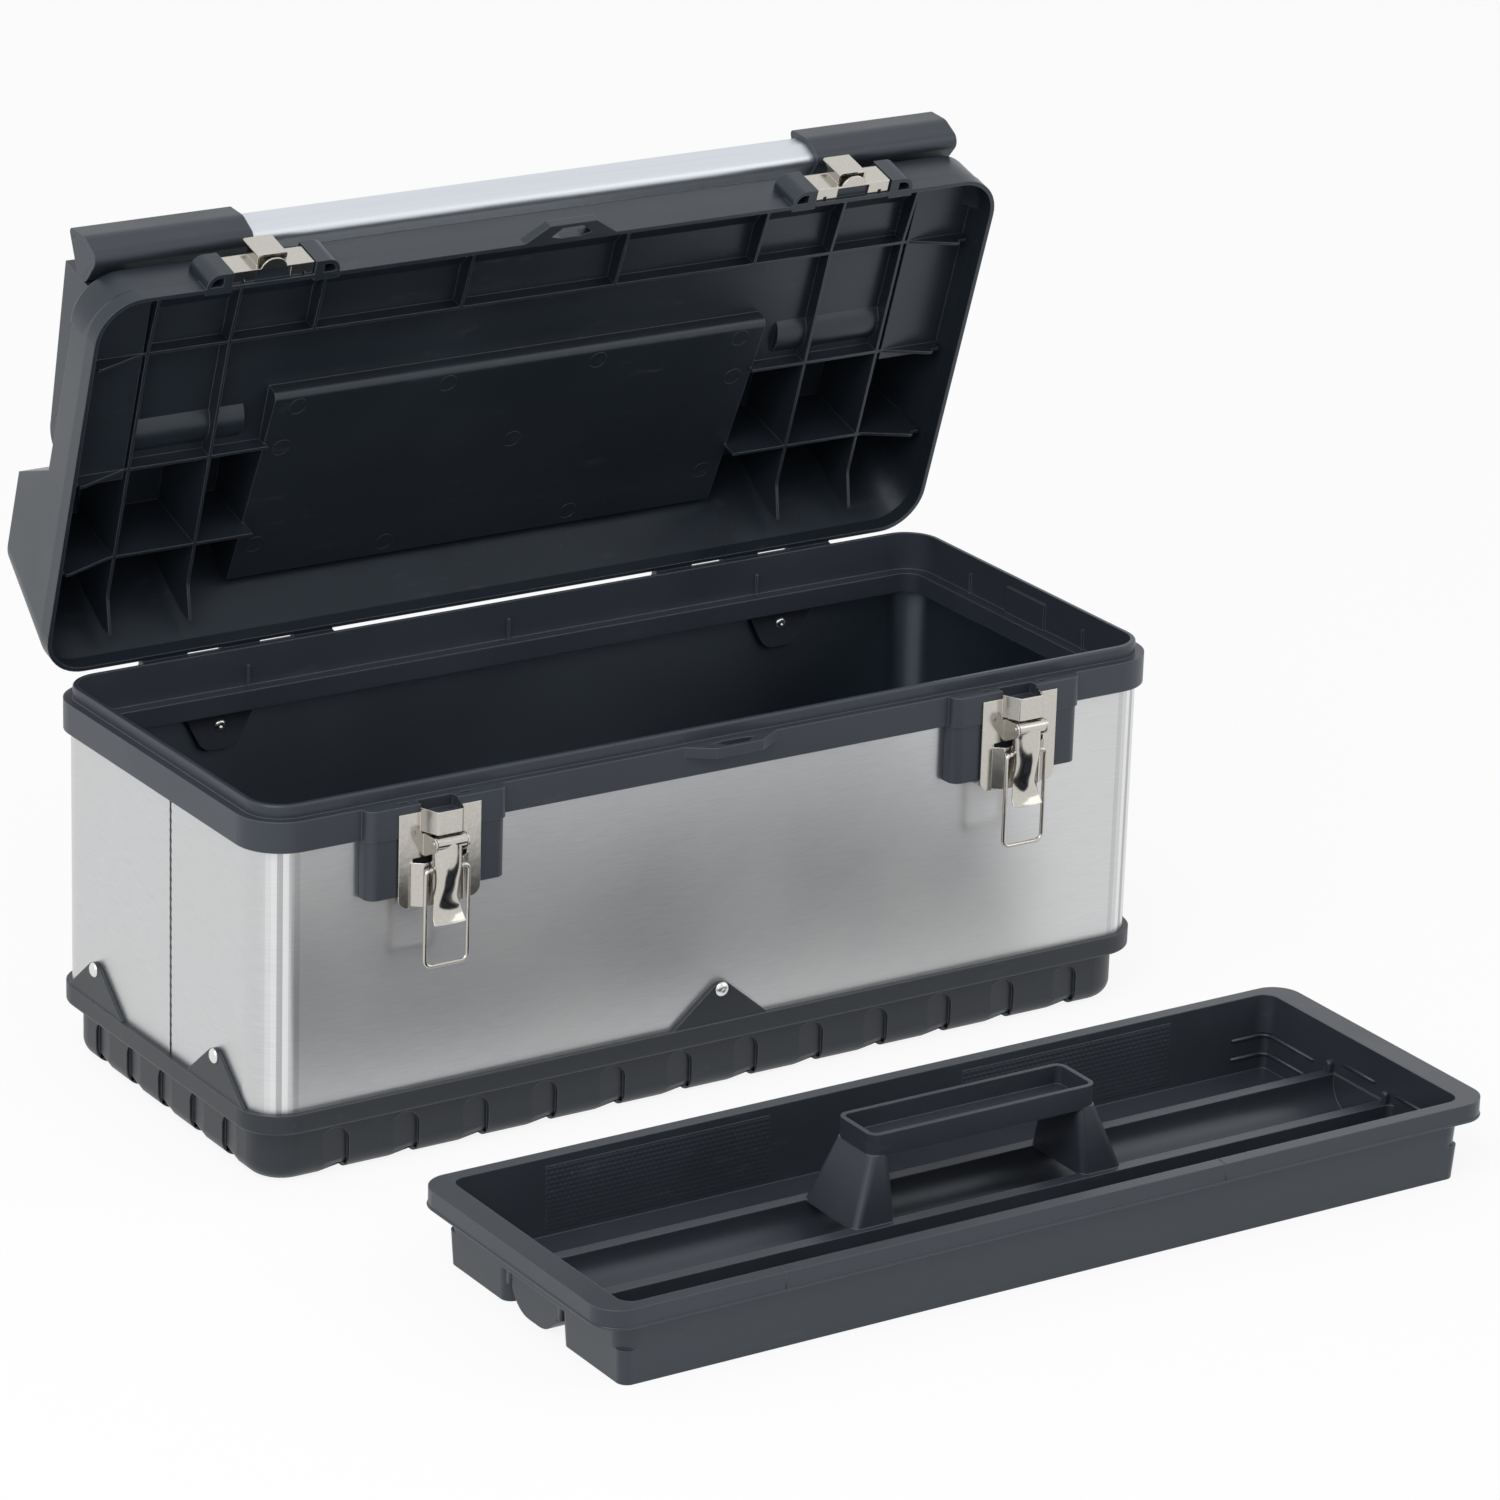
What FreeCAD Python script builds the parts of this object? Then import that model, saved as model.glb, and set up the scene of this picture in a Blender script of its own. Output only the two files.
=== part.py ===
import FreeCAD, Part
import os
from math import cos, pi, radians, sin, tan
import Sketcher

# Steel and plastic tool case with a hinged lid, a folding carrying handle, two draw latches and
# a lift-out tray. The origin is the centre of the case's underside, +Z is up and the latches face
# -Y. Lengths are in millimetres and angles in degrees.
SIZES = {
    # clearances and cuts
    "overrun": 2.0,
    "fit_gap": 0.2,
    "run_gap": 0.06,
    "end_gap": 0.6,
    # steel sleeve, a rolled sheet closed by a lock seam on the left side
    "sleeve_length": 571.6,
    "sleeve_width": 234.6,
    "sleeve_corner": 22.0,
    "sleeve_sheet": 0.8,
    "sleeve_height": 172.0,
    "seam_place": -15.0,
    "seam_slot": 0.9,
    "seam_strip": 9.0,
    # base moulding
    "base_height": 43.0,
    "base_seat": 33.0,
    "base_rim": 3.25,
    "band_height": 11.7,
    "band_round": 2.0,
    "tub_inset": 8.0,
    "tub_round": 10.0,
    "tub_wall": 3.0,
    "floor_wall": 3.0,
    "tab_width": 62.0,
    "tab_rise": 26.0,
    "tab_thick": 2.6,
    "tab_nose": 8.0,
    "tab_rivet_rise": 19.5,
    "side_tab_place": 69.0,
    "flute_width": 17.0,
    "flute_depth": 2.2,
    "flute_lead": 0.1,
    "flute_top": 27.0,
    "flute_arch": 8.0,
    "front_flute_margin": 47.1,
    "side_flute_margin": 44.3,
    # rivets
    "rivet_head": 4.0,
    "rivet_dome": 1.7,
    "rivet_shank": 2.4,
    # collar moulding
    "collar_wall": 4.0,
    "collar_overlap": 12.7,
    "collar_roof": 4.6,
    "lip_height": 7.4,
    "skirt_wall": 3.0,
    "shelf_drop": 22.5,
    "shelf_width": 8.0,
    "shelf_height": 11.5,
    "inner_tab_width": 45.0,
    "inner_tab_drop": 23.5,
    "inner_tab_foot": 20.0,
    "inner_tab_nose": 9.0,
    "inner_tab_rivet_drop": 9.0,
    "guide_rib_thick": 1.2,
    "guide_rib_depth": 1.5,
    "guide_rib_height": 12.0,
    "back_rib_pitch": 168.7,
    "end_rib_place": 56.5,
    "end_patch_width": 38.0,
    "end_patch_height": 15.5,
    # latch pads on the collar's front
    "latch_end_inset": 99.3,
    "pad_width": 86.0,
    "pad_reach": 7.0,
    "pad_drop": 50.6,
    "pad_round": 6.0,
    "pad_step": 0.8,
    "pad_notch": 22.5,
    "pad_notch_depth": 6.6,
    "pad_notch_reach": 6.0,
    "pad_hole_length": 6.0,
    "pad_hole_width": 2.0,
    "pad_hole_depth": 5.0,
    "pad_hole_place": 19.0,
    # padlock eyes of collar and lid
    "eye_root": 29.5,
    "eye_nose": 15.0,
    "eye_reach": 9.5,
    "eye_thick": 6.0,
    "eye_slot_length": 26.0,
    "eye_slot_width": 5.0,
    "eye_slot_belly": 6.5,
    "eye_slot_edge": 2.2,
    # hinges
    "hinge_set_back": 5.7,
    "hinge_drop": 1.1,
    "knuckle_radius": 5.0,
    "pin_radius": 2.0,
    "hinge_end_inset": 57.8,
    "hinge_length": 120.7,
    "first_window_step": 25.0,
    "second_window_step": 70.7,
    "window_width": 21.5,
    # lid moulding, heights above its rim and places from its rear edge
    "lid_open_angle": 72.6,
    "lid_gap": 0.4,
    "lid_wall": 2.5,
    "lid_rim_height": 9.0,
    "lid_back_lean": 24.0,
    "lid_back_height": 62.0,
    "lid_top_height": 66.0,
    "lid_end_lean": 5.0,
    "lid_top_corner": 20.0,
    "block_front": 93.0,
    "deck_start": 118.0,
    "deck_height": 30.0,
    "deck_end_inset": 26.0,
    "deck_front_height": 29.0,
    "brow_inset": 6.0,
    "brow_height": 18.0,
    "channel_width": 28.5,
    "channel_end_wall": 11.0,
    "channel_floor": 21.5,
    "channel_start": 115.0,
    # well in the lid's top
    "well_half": 160.0,
    "well_front": 154.0,
    "well_front_floor": 17.5,
    "well_back": 19.0,
    "well_back_floor": 35.0,
    "well_back_lean": 9.5,
    "well_round": 5.0,
    # ribs inside the lid
    "rib_thick": 1.8,
    "rib_edge": 19.0,
    "long_rib_inset": 50.0,
    "cross_rib_one": 143.0,
    "cross_rib_two": 195.0,
    "cross_rib_three": 245.0,
    "rib_end_step": 8.0,
    "fin_knee_inset": 42.0,
    "fin_tip_inset": 11.0,
    "fin_edge": 10.0,
    "fin_notch": 2.5,
    "fin_round": 9.0,
    "gusset_edge": 4.0,
    "gusset_depth": 11.0,
    "front_rib_pitch": 50.0,
    "back_rib_place": 60.0,
    "mid_rib_place": 118.0,
    "fin_rib_foot": 14.0,
    # keepers and their lugs on the lid's front
    "keeper_width": 49.0,
    "keeper_sheet": 1.2,
    "keeper_stand": 7.6,
    "keeper_lift": 1.4,
    "keeper_height": 15.6,
    "keeper_hump": 18.0,
    "keeper_hump_reach": 6.2,
    "keeper_mouth": 3.6,
    "keeper_hook": 6.0,
    "keeper_hook_step": 3.4,
    "keeper_tab_gap": 1.5,
    "keeper_notch": 2.0,
    "keeper_tongue": 8.0,
    "keeper_tongue_reach": 13.0,
    "keeper_tongue_sheet": 1.0,
    "lug_root": 4.0,
    "lug_width": 15.5,
    "lug_reach": 8.2,
    "lug_height": 21.0,
    "lug_slot": 5.5,
    "lug_heel": 15.0,
    "lug_heel_root": 11.0,
    # latch plates
    "plate_width": 50.0,
    "plate_sheet": 1.0,
    "plate_top_drop": 4.1,
    "plate_height": 53.2,
    "plate_corner": 6.0,
    "plate_fold": 10.5,
    "hump_base": 24.5,
    "hump_crown": 15.5,
    "hump_reach": 11.3,
    "hump_rise": 2.4,
    "hump_height": 12.9,
    "hump_round": 1.6,
    "ridge_base": 35.0,
    "ridge_crown": 24.0,
    "ridge_reach": 4.3,
    "ridge_height": 25.5,
    "ear_gap": 0.35,
    "ear_nose": 3.4,
    "ear_foot_drop": 9.4,
    "ear_foot": 2.0,
    # latch levers
    "lever_pin_drop": 19.4,
    "lever_pin_radius": 1.5,
    "lever_pin_reach": 10.5,
    "lever_pin_head": 0.5,
    "lever_width": 17.7,
    "lever_sheet": 1.1,
    "lever_head": 3.5,
    "lever_length": 45.8,
    "lever_depth": 10.0,
    # wire bails
    "bail_width": 28.5,
    "bail_wire": 1.2,
    "bail_drop": 15.7,
    "bail_set_back": 2.8,
    "bail_length": 54.3,
    "bail_corner": 4.0,
    # folding handle, places in the lid's measure
    "handle_pivot_place": 134.0,
    "handle_pivot_height": 38.0,
    "arm_radius": 15.0,
    "arm_width": 26.0,
    "arm_gap": 1.0,
    "arm_top": 53.0,
    "arm_low": 24.0,
    "arm_front_top": 63.0,
    "arm_front_low": 35.0,
    "sleeve_span": 96.0,
    "grip_apex_lead": 7.5,
    "grip_apex_height": 65.5,
    "grip_nose_lead": 7.0,
    "grip_nose_height": 30.5,
    "grip_heel_inset": 20.0,
    "grip_heel_height": 43.0,
    "grip_belly": 4.0,
    "grip_middle_inset": 2.0,
    "grip_middle_height": 45.5,
    "grip_core": 10.0,
    "grip_apex_round": 2.5,
    "grip_nose_round": 6.0,
    "grip_heel_round": 7.0,
    "sleeve_wall": 2.6,
    "bar_seat": 30.0,
    "bar_wall": 2.0,
    "end_cap_thick": 3.0,
    "pivot_pin_radius": 6.0,
    "pivot_boss_radius": 15.0,
    "pivot_boss_length": 76.0,
    "pivot_cap_radius": 11.5,
    "pivot_cap_thick": 2.5,
    # lift-out tray
    "tray_x": 23.5,
    "tray_y": -323.5,
    "tray_length": 561.0,
    "tray_width": 187.0,
    "tray_height": 46.0,
    "tray_corner": 16.0,
    "tray_rim_skirt": 11.0,
    "tray_rim_wall": 2.0,
    "tray_wall": 2.2,
    "tray_end_overhang": 13.0,
    "tray_side_overhang": 5.5,
    "tray_draft": 3.0,
    "divider_height": 21.5,
    "bay_inner": 27.0,
    "bay_round": 6.0,
    "trough_half": 23.0,
    "trough_bend": 18.0,
    "grip_length": 144.0,
    "grip_width": 34.0,
    "grip_top": 69.0,
    "grip_depth": 13.0,
    "grip_wall": 2.4,
    "grip_round": 6.0,
    "leg_round": 4.0,
    "leg_thick": 12.0,
    "leg_flare": 14.0,
    "leg_foot_width": 50.0,
}
FRONT_FLUTE_COUNT = 12
SIDE_FLUTE_COUNT = 5
FLUTE_FLATS = 3
WIRE_SIDES = 12
ROUND_END_SHARE = 0.9
ROUND_MIDDLE_SHARE = 0.5
LIP_ROUND_SHARE = 0.45
RIB_TOE_SHARE = 0.33
# rows down a latch lever: the drop along its length, the half width, and how far the middle and the
# edges of its curved section lie in front of the pin, as shares of the lever's depth
LEVER_SHARES = ((0.0, 1.0, 0.35, 0.0), (0.09, 1.0, 0.385, -0.25), (0.22, 1.0, 0.43, -0.45),
                (0.343, 0.975, 0.42, -0.53), (0.485, 0.93, 0.31, -0.42), (0.68, 0.9, 0.1, -0.3),
                (0.845, 0.97, -0.02, -0.22), (0.943, 1.06, 0.09, -0.06), (1.0, 1.09, 0.29, 0.17))

doc = FreeCAD.newDocument("tool_case")
sheet = doc.addObject("Spreadsheet::Sheet", "sheet")
for row, (alias, number) in enumerate(SIZES.items(), start=1):
    sheet.set("A%d" % row, alias)
    sheet.set("B%d" % row, repr(number))
    sheet.setAlias("B%d" % row, alias)
doc.recompute()


class Size:
    """A number together with the sheet formula that it comes from."""

    def __init__(self, number, formula):
        self.number = number
        self.formula = formula

    def joined(self, sign, other, number, swapped=False):
        """The size that a sign makes of this size and another one."""
        first, second = (other, self) if swapped else (self, other)
        return Size(number, "(%s %s %s)" % (first.formula, sign, second.formula))

    def __add__(self, other):
        other = as_size(other)
        return self.joined("+", other, self.number + other.number)

    def __sub__(self, other):
        other = as_size(other)
        return self.joined("-", other, self.number - other.number)

    def __rsub__(self, other):
        other = as_size(other)
        return self.joined("-", other, other.number - self.number, swapped=True)

    def __mul__(self, other):
        other = as_size(other)
        return self.joined("*", other, self.number * other.number)

    def __truediv__(self, other):
        other = as_size(other)
        return self.joined("/", other, self.number / other.number)

    def __neg__(self):
        return Size(-self.number, "(-%s)" % self.formula)

    __radd__ = __add__
    __rmul__ = __mul__


def as_size(value):
    """A size as it is, or a plain number as a size."""
    return value if isinstance(value, Size) else Size(value, "(%r)" % value)


def tangent(angle):
    """The tangent of an angle in degrees."""
    return Size(tan(radians(angle.number)), "tan(%s)" % angle.formula)


class Named:
    """The sheet's sizes by name."""


s = Named()
for alias, number in SIZES.items():
    setattr(s, alias, Size(number, "sheet.%s" % alias))

# sizes that several pieces share
s.sleeve_top = s.base_seat + s.sleeve_height
s.sleeve_front = s.sleeve_width / 2
s.sleeve_end = s.sleeve_length / 2
s.collar_bottom = s.sleeve_top - s.collar_overlap
s.collar_top = s.sleeve_top + s.collar_roof
s.collar_front = s.sleeve_front + s.fit_gap + s.collar_wall
s.collar_end = s.sleeve_end + s.fit_gap + s.collar_wall
s.collar_corner = s.sleeve_corner + s.fit_gap + s.collar_wall
s.lip_top = s.collar_top + s.lip_height
s.shelf = s.lip_top - s.shelf_drop
s.skirt_bottom = s.shelf - s.shelf_height
s.skirt_front = s.sleeve_front - s.sleeve_sheet - s.fit_gap
s.skirt_end = s.sleeve_end - s.sleeve_sheet - s.fit_gap
s.skirt_corner = s.sleeve_corner - s.sleeve_sheet - s.fit_gap
s.pad_front = s.collar_front + s.pad_reach
s.latch_place = s.sleeve_end - s.latch_end_inset
s.front_flute_pitch = (s.sleeve_length - 2 * s.front_flute_margin) / (FRONT_FLUTE_COUNT - 1)
s.side_flute_pitch = (s.sleeve_width - 2 * s.side_flute_margin) / (SIDE_FLUTE_COUNT - 1)
s.hinge_y = s.collar_front + s.hinge_set_back
s.hinge_z = s.collar_top - s.hinge_drop
s.hinge_end = s.sleeve_end - s.hinge_end_inset
s.hinge_start = s.hinge_end - s.hinge_length
s.first_window = s.hinge_start + s.first_window_step
s.second_window = s.hinge_start + s.second_window_step
s.lid_bottom = s.collar_top + s.lid_gap
s.lid_depth = 2 * s.collar_front
s.deck_end = s.lid_depth - s.deck_end_inset
s.brow_place = s.lid_depth - s.brow_inset
s.long_rib_place = s.lid_depth - s.long_rib_inset
s.channel_outer = s.collar_end - s.channel_end_wall
s.channel_inner = s.channel_outer - s.channel_width
s.arm_outer = s.channel_outer - s.arm_gap
s.arm_inner = s.arm_outer - s.arm_width
s.sleeve_inner = s.arm_outer - s.sleeve_span
s.pivot_boss_inner = s.channel_inner - s.pivot_boss_length
s.grip_apex_place = s.lid_depth + s.grip_apex_lead
s.grip_nose_place = s.lid_depth + s.grip_nose_lead
s.grip_heel_place = s.lid_depth - s.grip_heel_inset
s.grip_middle_place = s.lid_depth - s.grip_middle_inset
s.plate_top = s.collar_top - s.plate_top_drop
s.plate_face = s.pad_front + s.plate_sheet
s.lever_pin_y = s.plate_face + s.lever_pin_reach
s.lever_pin_z = s.collar_top - s.lever_pin_drop
s.bail_z = s.lever_pin_z - s.bail_drop
s.bail_y = s.lever_pin_y - s.bail_set_back
s.tab_rivet_z = s.base_height + s.tab_rivet_rise
s.inner_rivet_z = s.skirt_bottom - s.inner_tab_rivet_drop


def lid_y(place):
    """The closed lid's Y for a place measured forward from the lid's rear edge."""
    return s.collar_front - place


def lid_z(height):
    """The closed lid's Z for a height above the lid's rim."""
    return s.lid_bottom + height


def rectangle(low_x, high_x, low_y, high_y, corner=None):
    """A rectangle's corners, rounded where a corner radius is given."""
    corners = [(low_x, low_y), (high_x, low_y), (high_x, high_y), (low_x, high_y)]
    return [point + (corner,) for point in corners] if corner else corners


def centred(half_length, half_width, corner=None):
    """A rectangle about the origin."""
    return rectangle(-half_length, half_length, -half_width, half_width, corner)


def circle(centre_x, centre_y, radius):
    """A round outline."""
    return ("circle", centre_x, centre_y, radius)


def hold(sketch, constraint, size):
    """Adds a sketch dimension that follows the sheet."""
    index = sketch.addConstraint(Sketcher.Constraint(*constraint, size.number))
    sketch.setExpression("Constraints[%d]" % index, size.formula)


def hold_point(sketch, shape, end, place_x, place_y):
    """Fixes a sketch point at a place that follows the sheet."""
    hold(sketch, ("DistanceX", -1, 1, shape, end), as_size(place_x))
    hold(sketch, ("DistanceY", -1, 1, shape, end), as_size(place_y))


def draw_circle(sketch, outline):
    """Draws a round outline."""
    centre_x, centre_y, radius = [as_size(value) for value in outline[1:]]
    centre = FreeCAD.Vector(centre_x.number, centre_y.number, 0)
    shape = sketch.addGeometry(Part.Circle(centre, FreeCAD.Vector(0, 0, 1), radius.number))
    hold(sketch, ("Radius", shape), radius)
    hold_point(sketch, shape, 3, centre_x, centre_y)


def draw(sketch, outline):
    """Draws a closed outline of straight sides; a corner with a third value is rounded by it."""
    if outline[0] == "circle":
        draw_circle(sketch, outline)
        return
    places = [FreeCAD.Vector(as_size(c[0]).number, as_size(c[1]).number, 0) for c in outline]
    count = len(outline)
    starts, ends, arcs = [], [], {}
    for index, corner in enumerate(outline):
        place = places[index]
        back = (places[index - 1] - place).normalize()
        ahead = (places[(index + 1) % count] - place).normalize()
        if len(corner) < 3:
            starts.append(place)
            ends.append(place)
            continue
        half_turn = back.getAngle(ahead) / 2
        radius = as_size(corner[2]).number
        starts.append(place + back * (radius / tan(half_turn)))
        ends.append(place + ahead * (radius / tan(half_turn)))
        middle = (back + ahead).normalize()
        centre = place + middle * (radius / sin(half_turn))
        arcs[index] = Part.Arc(starts[index], centre - middle * radius, ends[index])
    sides = [sketch.addGeometry(Part.LineSegment(ends[i], starts[(i + 1) % count])) for i in range(count)]
    for index, corner in enumerate(outline):
        before, after = sides[index - 1], sides[index]
        if index not in arcs:
            sketch.addConstraint(Sketcher.Constraint("Coincident", before, 2, after, 1))
            hold_point(sketch, after, 1, corner[0], corner[1])
            continue
        arc = sketch.addGeometry(arcs[index])
        first = 1 if sketch.getPoint(arc, 1).distanceToPoint(starts[index]) < radius_limit(corner) else 2
        sketch.addConstraint(Sketcher.Constraint("Tangent", before, 2, arc, first))
        sketch.addConstraint(Sketcher.Constraint("Tangent", after, 1, arc, 3 - first))
        hold(sketch, ("Radius", arc), as_size(corner[2]))
        tip = sketch.addGeometry(Part.Point(places[index]), True)
        sketch.addConstraint(Sketcher.Constraint("PointOnObject", tip, 1, before))
        sketch.addConstraint(Sketcher.Constraint("PointOnObject", tip, 1, after))
        hold_point(sketch, tip, 1, corner[0], corner[1])


def radius_limit(corner):
    """A distance well under a rounded corner's own size, to tell its arc's two ends apart."""
    return as_size(corner[2]).number / 100


class Piece:
    """One moulding or pressing: a body that grows by pads, pockets and fillets."""

    def __init__(self, label):
        self.body = doc.addObject("PartDesign::Body", label)
        self.body.Label = label

    def sketch(self, plane, level, outlines):
        """A sketch on one of the body's own planes, moved along the plane's normal to a level."""
        sketch = self.body.newObject("Sketcher::SketchObject", "outline")
        role = plane + "_Plane"
        support = [item for item in self.body.Origin.OriginFeatures if item.Role == role][0]
        sketch.AttachmentSupport = [(support, "")]
        sketch.MapMode = "FlatFace"
        sketch.setExpression("AttachmentOffset.Base.z", level.formula)
        for outline in outlines:
            draw(sketch, outline)
        return sketch

    def extent(self, plane, low, high):
        """The start level along the plane's normal, which is -Y for XZ, and the depth."""
        low, high = as_size(low), as_size(high)
        return (-high if plane == "XZ" else low), high - low

    def pad(self, plane, low, high, *outlines, draft=None):
        """Adds the outlines' solid between two places along the plane's axis."""
        level, depth = self.extent(plane, low, high)
        feature = self.body.newObject("PartDesign::Pad", "pad")
        feature.Profile = self.sketch(plane, level, outlines)
        feature.setExpression("Length", depth.formula)
        if draft:
            feature.setExpression("TaperAngle", draft.formula)
        self.body.Tip = feature
        return feature

    def pocket(self, plane, low, high, *outlines, draft=None):
        """Cuts the outlines' solid between two places along the plane's axis."""
        level, depth = self.extent(plane, low, high)
        feature = self.body.newObject("PartDesign::Pocket", "pocket")
        feature.Profile = self.sketch(plane, level, outlines)
        feature.Reversed = True
        feature.setExpression("Length", depth.formula)
        if draft:
            feature.setExpression("TaperAngle", draft.formula)
        self.body.Tip = feature
        return feature

    def loft(self, *sections):
        """Adds the straight-sided solid through outlines at rising levels."""
        feature = self.body.newObject("PartDesign::AdditiveLoft", "loft")
        sketches = [self.sketch("XY", level, [outline]) for level, outline in sections]
        feature.Profile = sketches[0]
        feature.Sections = sketches[1:]
        feature.Ruled = True
        self.body.Tip = feature
        return feature

    def fillet(self, radius, chosen):
        """Rounds the edges that a test picks out."""
        doc.recompute()
        base = self.body.Tip
        names = ["Edge%d" % (i + 1) for i, edge in enumerate(base.Shape.Edges) if chosen(edge)]
        feature = self.body.newObject("PartDesign::Fillet", "fillet")
        feature.Base = (base, names)
        feature.setExpression("Radius", radius.formula)
        self.body.Tip = feature
        return feature

    def combine(self, kind, other):
        """Cuts another body out of this one, or keeps only what the two have in common."""
        feature = self.body.newObject("PartDesign::Boolean", "combined")
        feature.addObjects([other.body])
        feature.Type = kind
        self.body.Tip = feature
        return feature


class Moulding:
    """A piece made of a core body, bodies joined to it and bodies cut from it."""

    def __init__(self, label, core=None):
        self.label = label
        self.core = core or Piece(label + "_core")
        self.joined = []
        self.taken = []

    def add(self, name):
        """A new body that is joined to the core."""
        self.joined.append(Piece(name))
        return self.joined[-1]

    def cut(self, name):
        """A new body whose space is cut from the joined bodies."""
        self.taken.append(Piece(name))
        return self.taken[-1]

    def finish(self):
        """The finished object."""
        whole = doc.addObject("Part::MultiFuse", self.label + "_joined")
        whole.Shapes = [self.core.body] + [piece.body for piece in self.joined]
        tool = doc.addObject("Part::Compound", self.label + "_taken")
        tool.Links = [piece.body for piece in self.taken]
        item = doc.addObject("Part::Cut", self.label)
        item.Base = whole
        item.Tool = tool
        return item


def near(value, size):
    """Whether a measured value is the size, within a hundredth of the fit clearance."""
    return abs(value - as_size(size).number) < s.fit_gap.number / 100


def all_at(edge, axis, size):
    """Whether an edge lies at one place along an axis."""
    bounds = edge.BoundBox
    return near(getattr(bounds, axis + "Min"), size) and near(getattr(bounds, axis + "Max"), size)


def turned_with_lid(item):
    """Turns an item that was drawn on the closed lid to the lid's resting angle."""
    centre = "vector(0; %s; %s)" % (s.hinge_y.formula, s.hinge_z.formula)
    turn = "rotation(vector(1; 0; 0); -sheet.lid_open_angle)"
    item.setExpression("Placement", "placement(vector(0; 0; 0); %s; %s)" % (turn, centre))


NODES = {}


def keep(label, item):
    """Files an object under its node's name."""
    item.Label = label
    NODES[label] = item


def flute_section(along, depth):
    """The section of a flute's cutter: the wall's foot profile, in three flats, moved inward by a depth."""
    out = -s.overrun.number
    foot = s.tub_round.number
    turn = pi / (2 * FLUTE_FLATS)
    reach = (foot - depth) / cos(turn / 2)
    high = s.flute_top.number + s.overrun.number
    far = foot + s.overrun.number
    bends = [turn * (index + ROUND_MIDDLE_SHARE) for index in range(FLUTE_FLATS)]
    spots = [(depth, high)] + [(foot - reach * cos(bend), foot - reach * sin(bend)) for bend in bends]
    spots += [(far, depth), (far, out), (out, out), (out, high)]
    return Part.makePolygon([FreeCAD.Vector(along, y, z) for y, z in spots + spots[:1]])


def flute_cutter():
    """One flute of the base: it deepens along X and has an arched top."""
    width = s.flute_width.number
    low = -2 * s.overrun.number
    high = s.flute_top.number
    arch = s.flute_arch.number
    shallow, deep = flute_section(0, -s.flute_lead.number), flute_section(width, s.flute_depth.number)
    ramp = Part.makeLoft([shallow, deep], True, True)
    door = Part.makeBox(width, width * 2, high - low, FreeCAD.Vector(0, low, low))
    top = [edge for edge in door.Edges if all(near(v.Z, high) for v in edge.Vertexes)]
    return ramp.common(door.makeFillet(arch, [e for e in top if near(e.BoundBox.XLength, 0)]))


def base_tub():
    """The base: a fluted tub, a band that holds the sleeve's foot and riveted tabs."""
    piece = Piece("base_moulding")
    rim_end = s.sleeve_end + s.fit_gap + s.base_rim
    rim_front = s.sleeve_front + s.fit_gap + s.base_rim
    tub_end, tub_front = rim_end - s.tub_inset, rim_front - s.tub_inset
    corner = s.sleeve_corner + s.fit_gap + s.base_rim
    tub_corner = corner - s.tub_inset / 2
    band_bottom = s.base_height - s.band_height
    piece.pad("XY", 0, band_bottom, centred(tub_end, tub_front, tub_corner))
    piece.fillet(s.tub_round, lambda edge: all_at(edge, "Z", 0))
    piece.pad("XY", band_bottom, s.base_height, centred(rim_end, rim_front, corner))
    piece.fillet(s.band_round,
                 lambda edge: all_at(edge, "Z", band_bottom) and outside(edge, tub_end, tub_front))
    piece.pocket("XY", s.base_seat, s.base_height + s.overrun,
                 centred(s.sleeve_end + s.fit_gap, s.sleeve_front + s.fit_gap, s.sleeve_corner + s.fit_gap))
    piece.pocket("XY", s.floor_wall, s.base_height,
                 centred(tub_end - s.tub_wall, tub_front - s.tub_wall, tub_corner - s.tub_wall))
    tab_low = s.base_height - s.band_height / 2
    tab_high = s.base_height + s.tab_rise
    hole = s.rivet_shank + s.run_gap
    for plane, face, places in (("XZ", s.sleeve_front, [as_size(0)]),
                                ("YZ", s.sleeve_end, [-s.side_tab_place, s.side_tab_place])):
        for side in (-1, 1):
            inner, outer = face + s.fit_gap, face + s.fit_gap + s.tab_thick
            low, high = (inner, outer) if side > 0 else (-outer, -inner)
            for place in places:
                piece.pad(plane, low, high, [(place - s.tab_width / 2, s.base_height),
                                             (place - s.tab_width / 2, tab_low),
                                             (place + s.tab_width / 2, tab_low),
                                             (place + s.tab_width / 2, s.base_height),
                                             (place, tab_high, s.tab_nose)])
                piece.pocket(plane, low - s.overrun, high + s.overrun, circle(place, s.tab_rivet_z, hole))
    flutes = doc.addObject("Part::Feature", "flutes")
    flutes.Shape = Part.makeCompound(flute_cutters(tub_end.number, tub_front.number))
    tub = doc.addObject("Part::Cut", "base_tub")
    tub.Base = piece.body
    tub.Tool = flutes
    keep("base_tub", tub)


def outside(edge, half_length, half_width):
    """Whether an edge lies outside a centred rectangle."""
    middle = edge.CenterOfMass
    return abs(middle.x) > half_length.number + s.fit_gap.number \
        or abs(middle.y) > half_width.number + s.fit_gap.number \
        or edge.BoundBox.XLength > 2 * half_length.number


def flute_cutters(tub_end, tub_front):
    """The flutes of all four sides; on the ends they deepen away from the front."""
    flute = flute_cutter()
    cutters = []
    for count, pitch, face, ends in ((FRONT_FLUTE_COUNT, s.front_flute_pitch.number, tub_front, False),
                                     (SIDE_FLUTE_COUNT, s.side_flute_pitch.number, tub_end, True)):
        first = -((count - 1) * pitch + s.flute_width.number) / 2
        for index in range(count):
            row = flute.copy()
            row.translate(FreeCAD.Vector(first + index * pitch, -face, 0))
            far = row.mirror(FreeCAD.Vector(), FreeCAD.Vector(0, 1, 0))
            for item in (row, far):
                if ends:
                    item.rotate(FreeCAD.Vector(), FreeCAD.Vector(0, 0, 1), 90)
                cutters.append(item)
    return cutters


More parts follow.
